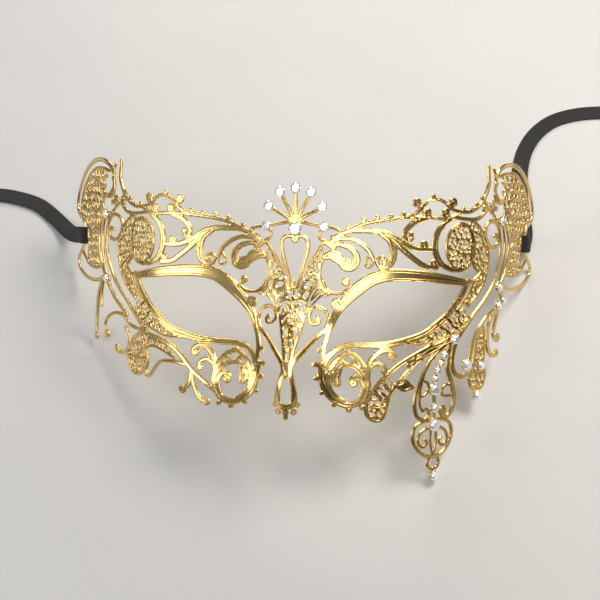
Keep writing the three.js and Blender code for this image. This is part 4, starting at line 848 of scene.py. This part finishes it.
def stone_mesh(radius):
    """A round stone with a table, two rows of crown facets, a girdle and a flat back."""
    sides = STONE_SIDES
    points = []
    for share, height, shift in STONE_RINGS:
        for k in range(sides):
            turn = 2 * math.pi * (k + shift) / sides
            reach = share * radius
            points.append((reach * math.cos(turn), reach * math.sin(turn), height * radius))
    faces = [list(range(sides))]
    for level in range(len(STONE_RINGS) - 1):
        a, b = level * sides, (level + 1) * sides
        shift = STONE_RINGS[level][2] - STONE_RINGS[level + 1][2]
        for k in range(sides):
            n = (k + 1) % sides
            if shift == 0:
                faces.append([a + k, b + k, b + n, a + n])
            elif shift < 0:
                faces.append([a + k, b + k, a + n])
                faces.append([a + n, b + k, b + n])
            else:
                faces.append([a + k, b + k, b + n])
                faces.append([a + k, b + n, a + n])
    last = (len(STONE_RINGS) - 1) * sides
    faces.append([last + k for k in reversed(range(sides))])
    return points, faces


def build_stones(material):
    for group, stones in STONES.items():
        for number, (u, v, radius) in enumerate(stones, 1):
            base, out = sheet_place(u, v, SHEET + STONE_SEAT)
            points, faces = stone_mesh(radius * MM)
            mesh = bpy.data.meshes.new("stone")
            mesh.from_pydata(points, [], faces)
            mesh.materials.append(material)
            stone = bpy.data.objects.new(f"crystal_{group}_{number}", mesh)
            bpy.context.scene.collection.objects.link(stone)
            stone.matrix_world = Matrix.Translation(base) @ out.to_track_quat("Z", "Y").to_matrix().to_4x4()
            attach(stone, "root")
            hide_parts(f"stone_{group}_{number}")


NEAR = 0.5                      # how far off the slope of the sheet is read


def sheet_place(u, v, height):
    """A place on the bent sheet and the direction that faces out of it there."""
    near_u = [u, u + NEAR, u - NEAR, u, u]
    near_v = [v, v, v, v + NEAR, v - NEAR]
    centre, up_u, down_u, up_v, down_v = on_sheet(near_u, near_v, height)
    out = Vector(np.cross(up_u - down_u, up_v - down_v)).normalized()
    return Vector(centre), out


# ---- ribbons
RIBBON_WIDE = 7.0
RIBBON_THICK = 0.5
RIBBON_LENGTH = 0.45
LOOP_U = 113.8
LOOP_V = 70.6
LOOP_LONG = 3.0
LOOP_DEEP = 2.2
LOOP_STEPS = 48
ROLL_RADIUS = 38.6
ROLL_PITCH = 3.4                # how much smaller each turn of a roll is
ROLL_STEPS = 700
ROLL_LEAD = 8.0                 # how far before the top of its roll a ribbon is upright
ROLL_RISE = 0.2                 # and how far outside of the roll
PATH_GAP = 0.5                  # distance between the points of a ribbon's path
CLEAR = 0.1                     # clearance of the rolls from the floor
FLAT_CLEAR = 0.3                # clearance of the rest of a ribbon
RIBBON_SECTION = (              # half of the section: across in half widths, out in half thicknesses
    (-1, 0), (-0.985, 1), (-0.9, 1), (-0.45, 1), (0, 1), (0.45, 1), (0.9, 1), (0.985, 1))
RIBBON_ROUTES = {
    "left": [(-94.4, 38.6, 14.5), (-95.6, 39.8, 12.8), (-97.4, 41.4, 10.2), (-100, 43.6, 7.2),
             (-103.2, 46.6, 4.2), (-107.2, 50.8, 2), (-112.4, 55.8, 1), (-120.8, 62.4, 0.85),
             (-130.4, 66, 0.85), (-141.4, 67.9, 0.85), (-164, 68.6, 0.85)],
    "right": [(94.6, 41.5, 10.3), (95.4, 43, 8.2), (95.8, 45.6, 5.6), (95.4, 49.4, 3.2), (94.6, 54.4, 1.6),
              (93.8, 61, 0.8), (93.2, 69, 0.5), (93, 79, 0.5), (93.8, 89, 0.5), (96.2, 98, 0.5),
              (101, 106.6, 0.5), (108.6, 113.6, 0.5), (118.6, 117.4, 0.5), (129.6, 118.8, 0.5),
              (151.6, 119.4, 0.5)],
}
ROLL_CENTRES = {"left": (-190.0, 31.0), "right": (174.0, 82.0)}
TWIST = {"left": (-150, -181), "right": (137, 165)}     # x between which a ribbon turns up on its edge
UNFOLD = 26.0                   # run over which a ribbon turns from the fold's direction to flat


def unit(rows):
    return rows / np.linalg.norm(rows, axis=1)[:, None]


def ribbon_line(side):
    """One ribbon's centre line, evenly spaced: its route, then a roll that takes up its length."""
    sign = -1 if side == "left" else 1
    x, y = ROLL_CENTRES[side]
    level = RIBBON_WIDE / 2 + CLEAR
    top = [[x - sign * ROLL_LEAD, y + ROLL_RADIUS + ROLL_RISE, level], [x, y + ROLL_RADIUS, level]]
    run = even(spline(np.vstack([RIBBON_ROUTES[side], top]), SPAN_STEPS), PATH_GAP)
    left = RIBBON_LENGTH / MM - lengths(run).sum()
    turn = np.linspace(0, left / (ROLL_RADIUS - ROLL_PITCH), ROLL_STEPS)
    radius = ROLL_RADIUS - ROLL_PITCH * turn / (2 * math.pi)
    roll = [x + sign * radius * np.sin(turn), y + radius * np.cos(turn), np.full(len(turn), level)]
    path = even(np.vstack([run, np.stack(roll, 1)[1:]]), PATH_GAP)
    return path[:int(RIBBON_LENGTH / MM / PATH_GAP)]


def ribbon_path(side):
    """One ribbon's centre line and, at each point, the direction of its width."""
    path = ribbon_line(side)
    count = np.arange(len(path))
    along = unit(np.gradient(path, axis=0))
    flat = unit(np.cross(along, [0, 0, 1]))
    folded = np.array([0, math.sin(RECLINE), math.cos(RECLINE)])
    folded = folded * np.sign(flat[0] @ folded)
    free = smooth(count * PATH_GAP / UNFOLD)[:, None]
    flat = flat * free + folded * (1 - free)
    flat -= along * np.sum(flat * along, axis=1)[:, None]
    flat = unit(flat)
    start, end = TWIST[side]
    share = np.maximum.accumulate(smooth((path[:, 0] - start) / (end - start)))
    share = np.where(count > share.argmax(), 1.0, share)[:, None]
    upright = np.cross(flat, along)
    wide = flat * np.cos(share * math.pi / 2) + upright * np.sin(share * math.pi / 2)
    path[:, 2] = np.maximum(path[:, 2], FLAT_CLEAR + np.abs(wide[:, 2]) * RIBBON_WIDE / 2)
    return path, wide


def band_mesh(name, path, wide, thick, material, closed=False):
    """A flat band with rounded edges along a path, storing length and edge distance for the weave."""
    face = unit(np.cross(wide, np.gradient(path, axis=0)))
    half = RIBBON_WIDE / 2
    section = [(sign * a, sign * b) for sign in (1, -1) for a, b in RIBBON_SECTION]
    count = len(section)
    run = np.concatenate([[0], np.cumsum(lengths(path))])
    vertices = np.stack([path + wide * a * half + face * b * thick / 2 for a, b in section], 1)
    steps = len(path)
    rings = np.arange(steps if closed else steps - 1)[:, None]
    k = np.arange(count)[None, :]
    following = (rings + 1) % steps
    corners = [(rings, k), (following, k), (following, (k + 1) % count), (rings, (k + 1) % count)]
    faces = np.stack([ring * count + corner for ring, corner in corners], -1).reshape(-1, 4)
    band = mesh_object(name, vertices.reshape(-1, 3) * MM, faces, material)
    if not closed:
        end_faces(band, count, steps)
    store(band, "along", np.repeat(run, count))
    store(band, "edge", np.tile([half * (1 - abs(a)) for a, _ in section], steps))
    band.data.shade_smooth()
    return band


def end_faces(band, count, steps):
    """Closes the two ends of an open band."""
    shape = bmesh.new()
    shape.from_mesh(band.data)
    shape.verts.ensure_lookup_table()
    shape.faces.new([shape.verts[k] for k in range(count)])
    shape.faces.new([shape.verts[(steps - 1) * count + k] for k in reversed(range(count))])
    bmesh.ops.recalc_face_normals(shape, faces=shape.faces)
    shape.to_mesh(band.data)
    shape.free()


def build_ribbons(material):
    for side in ("left", "right"):
        path, wide = ribbon_path(side)
        ribbon = band_mesh(f"ribbon_tie_{side}", path, wide, RIBBON_THICK, material)
        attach(ribbon, "root")
        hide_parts(f"ribbon_{side}", f"ribbon_roll_{side}")
        build_fold(side, material)


def build_fold(side, material):
    """The ribbon's end, folded round the rear edge of the temple."""
    sign = -1 if side == "left" else 1
    turn = np.linspace(0, 2 * math.pi, LOOP_STEPS, endpoint=False)
    middle_u = sign * (LOOP_U + (LOOP_LONG - RIBBON_THICK / 2) * np.cos(turn))
    middle_n = SHEET / 2 + (LOOP_DEEP - RIBBON_THICK / 2) * np.sin(turn)
    path = on_sheet(middle_u, LOOP_V, middle_n) / MM
    high, low = on_sheet([sign * LOOP_U] * 2, [LOOP_V + NEAR, LOOP_V - NEAR], SHEET / 2)
    up = (high - low) / np.linalg.norm(high - low)
    wide = np.tile(up, (len(path), 1))
    fold = band_mesh(f"ribbon_fold_{side}", path, wide, RIBBON_THICK, material, closed=True)
    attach(fold, "root")
    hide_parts(f"ribbon_loop_{side}")


def build_floor():
    corners = [(-1, -1), (1, -1), (1, 1), (-1, 1)]
    mesh = bpy.data.meshes.new("floor")
    mesh.from_pydata([(x * FLOOR_HALF, y * FLOOR_HALF, 0) for x, y in corners], [], [(0, 1, 2, 3)])
    mesh.materials.append(floor_material())
    floor = bpy.data.objects.new("floor", mesh)
    bpy.context.scene.collection.objects.link(floor)


place_camera()
build_ribbons(ribbon_material())
build_sheet(brass_material())
build_stones(crystal_material())
build_floor()
light_scene()
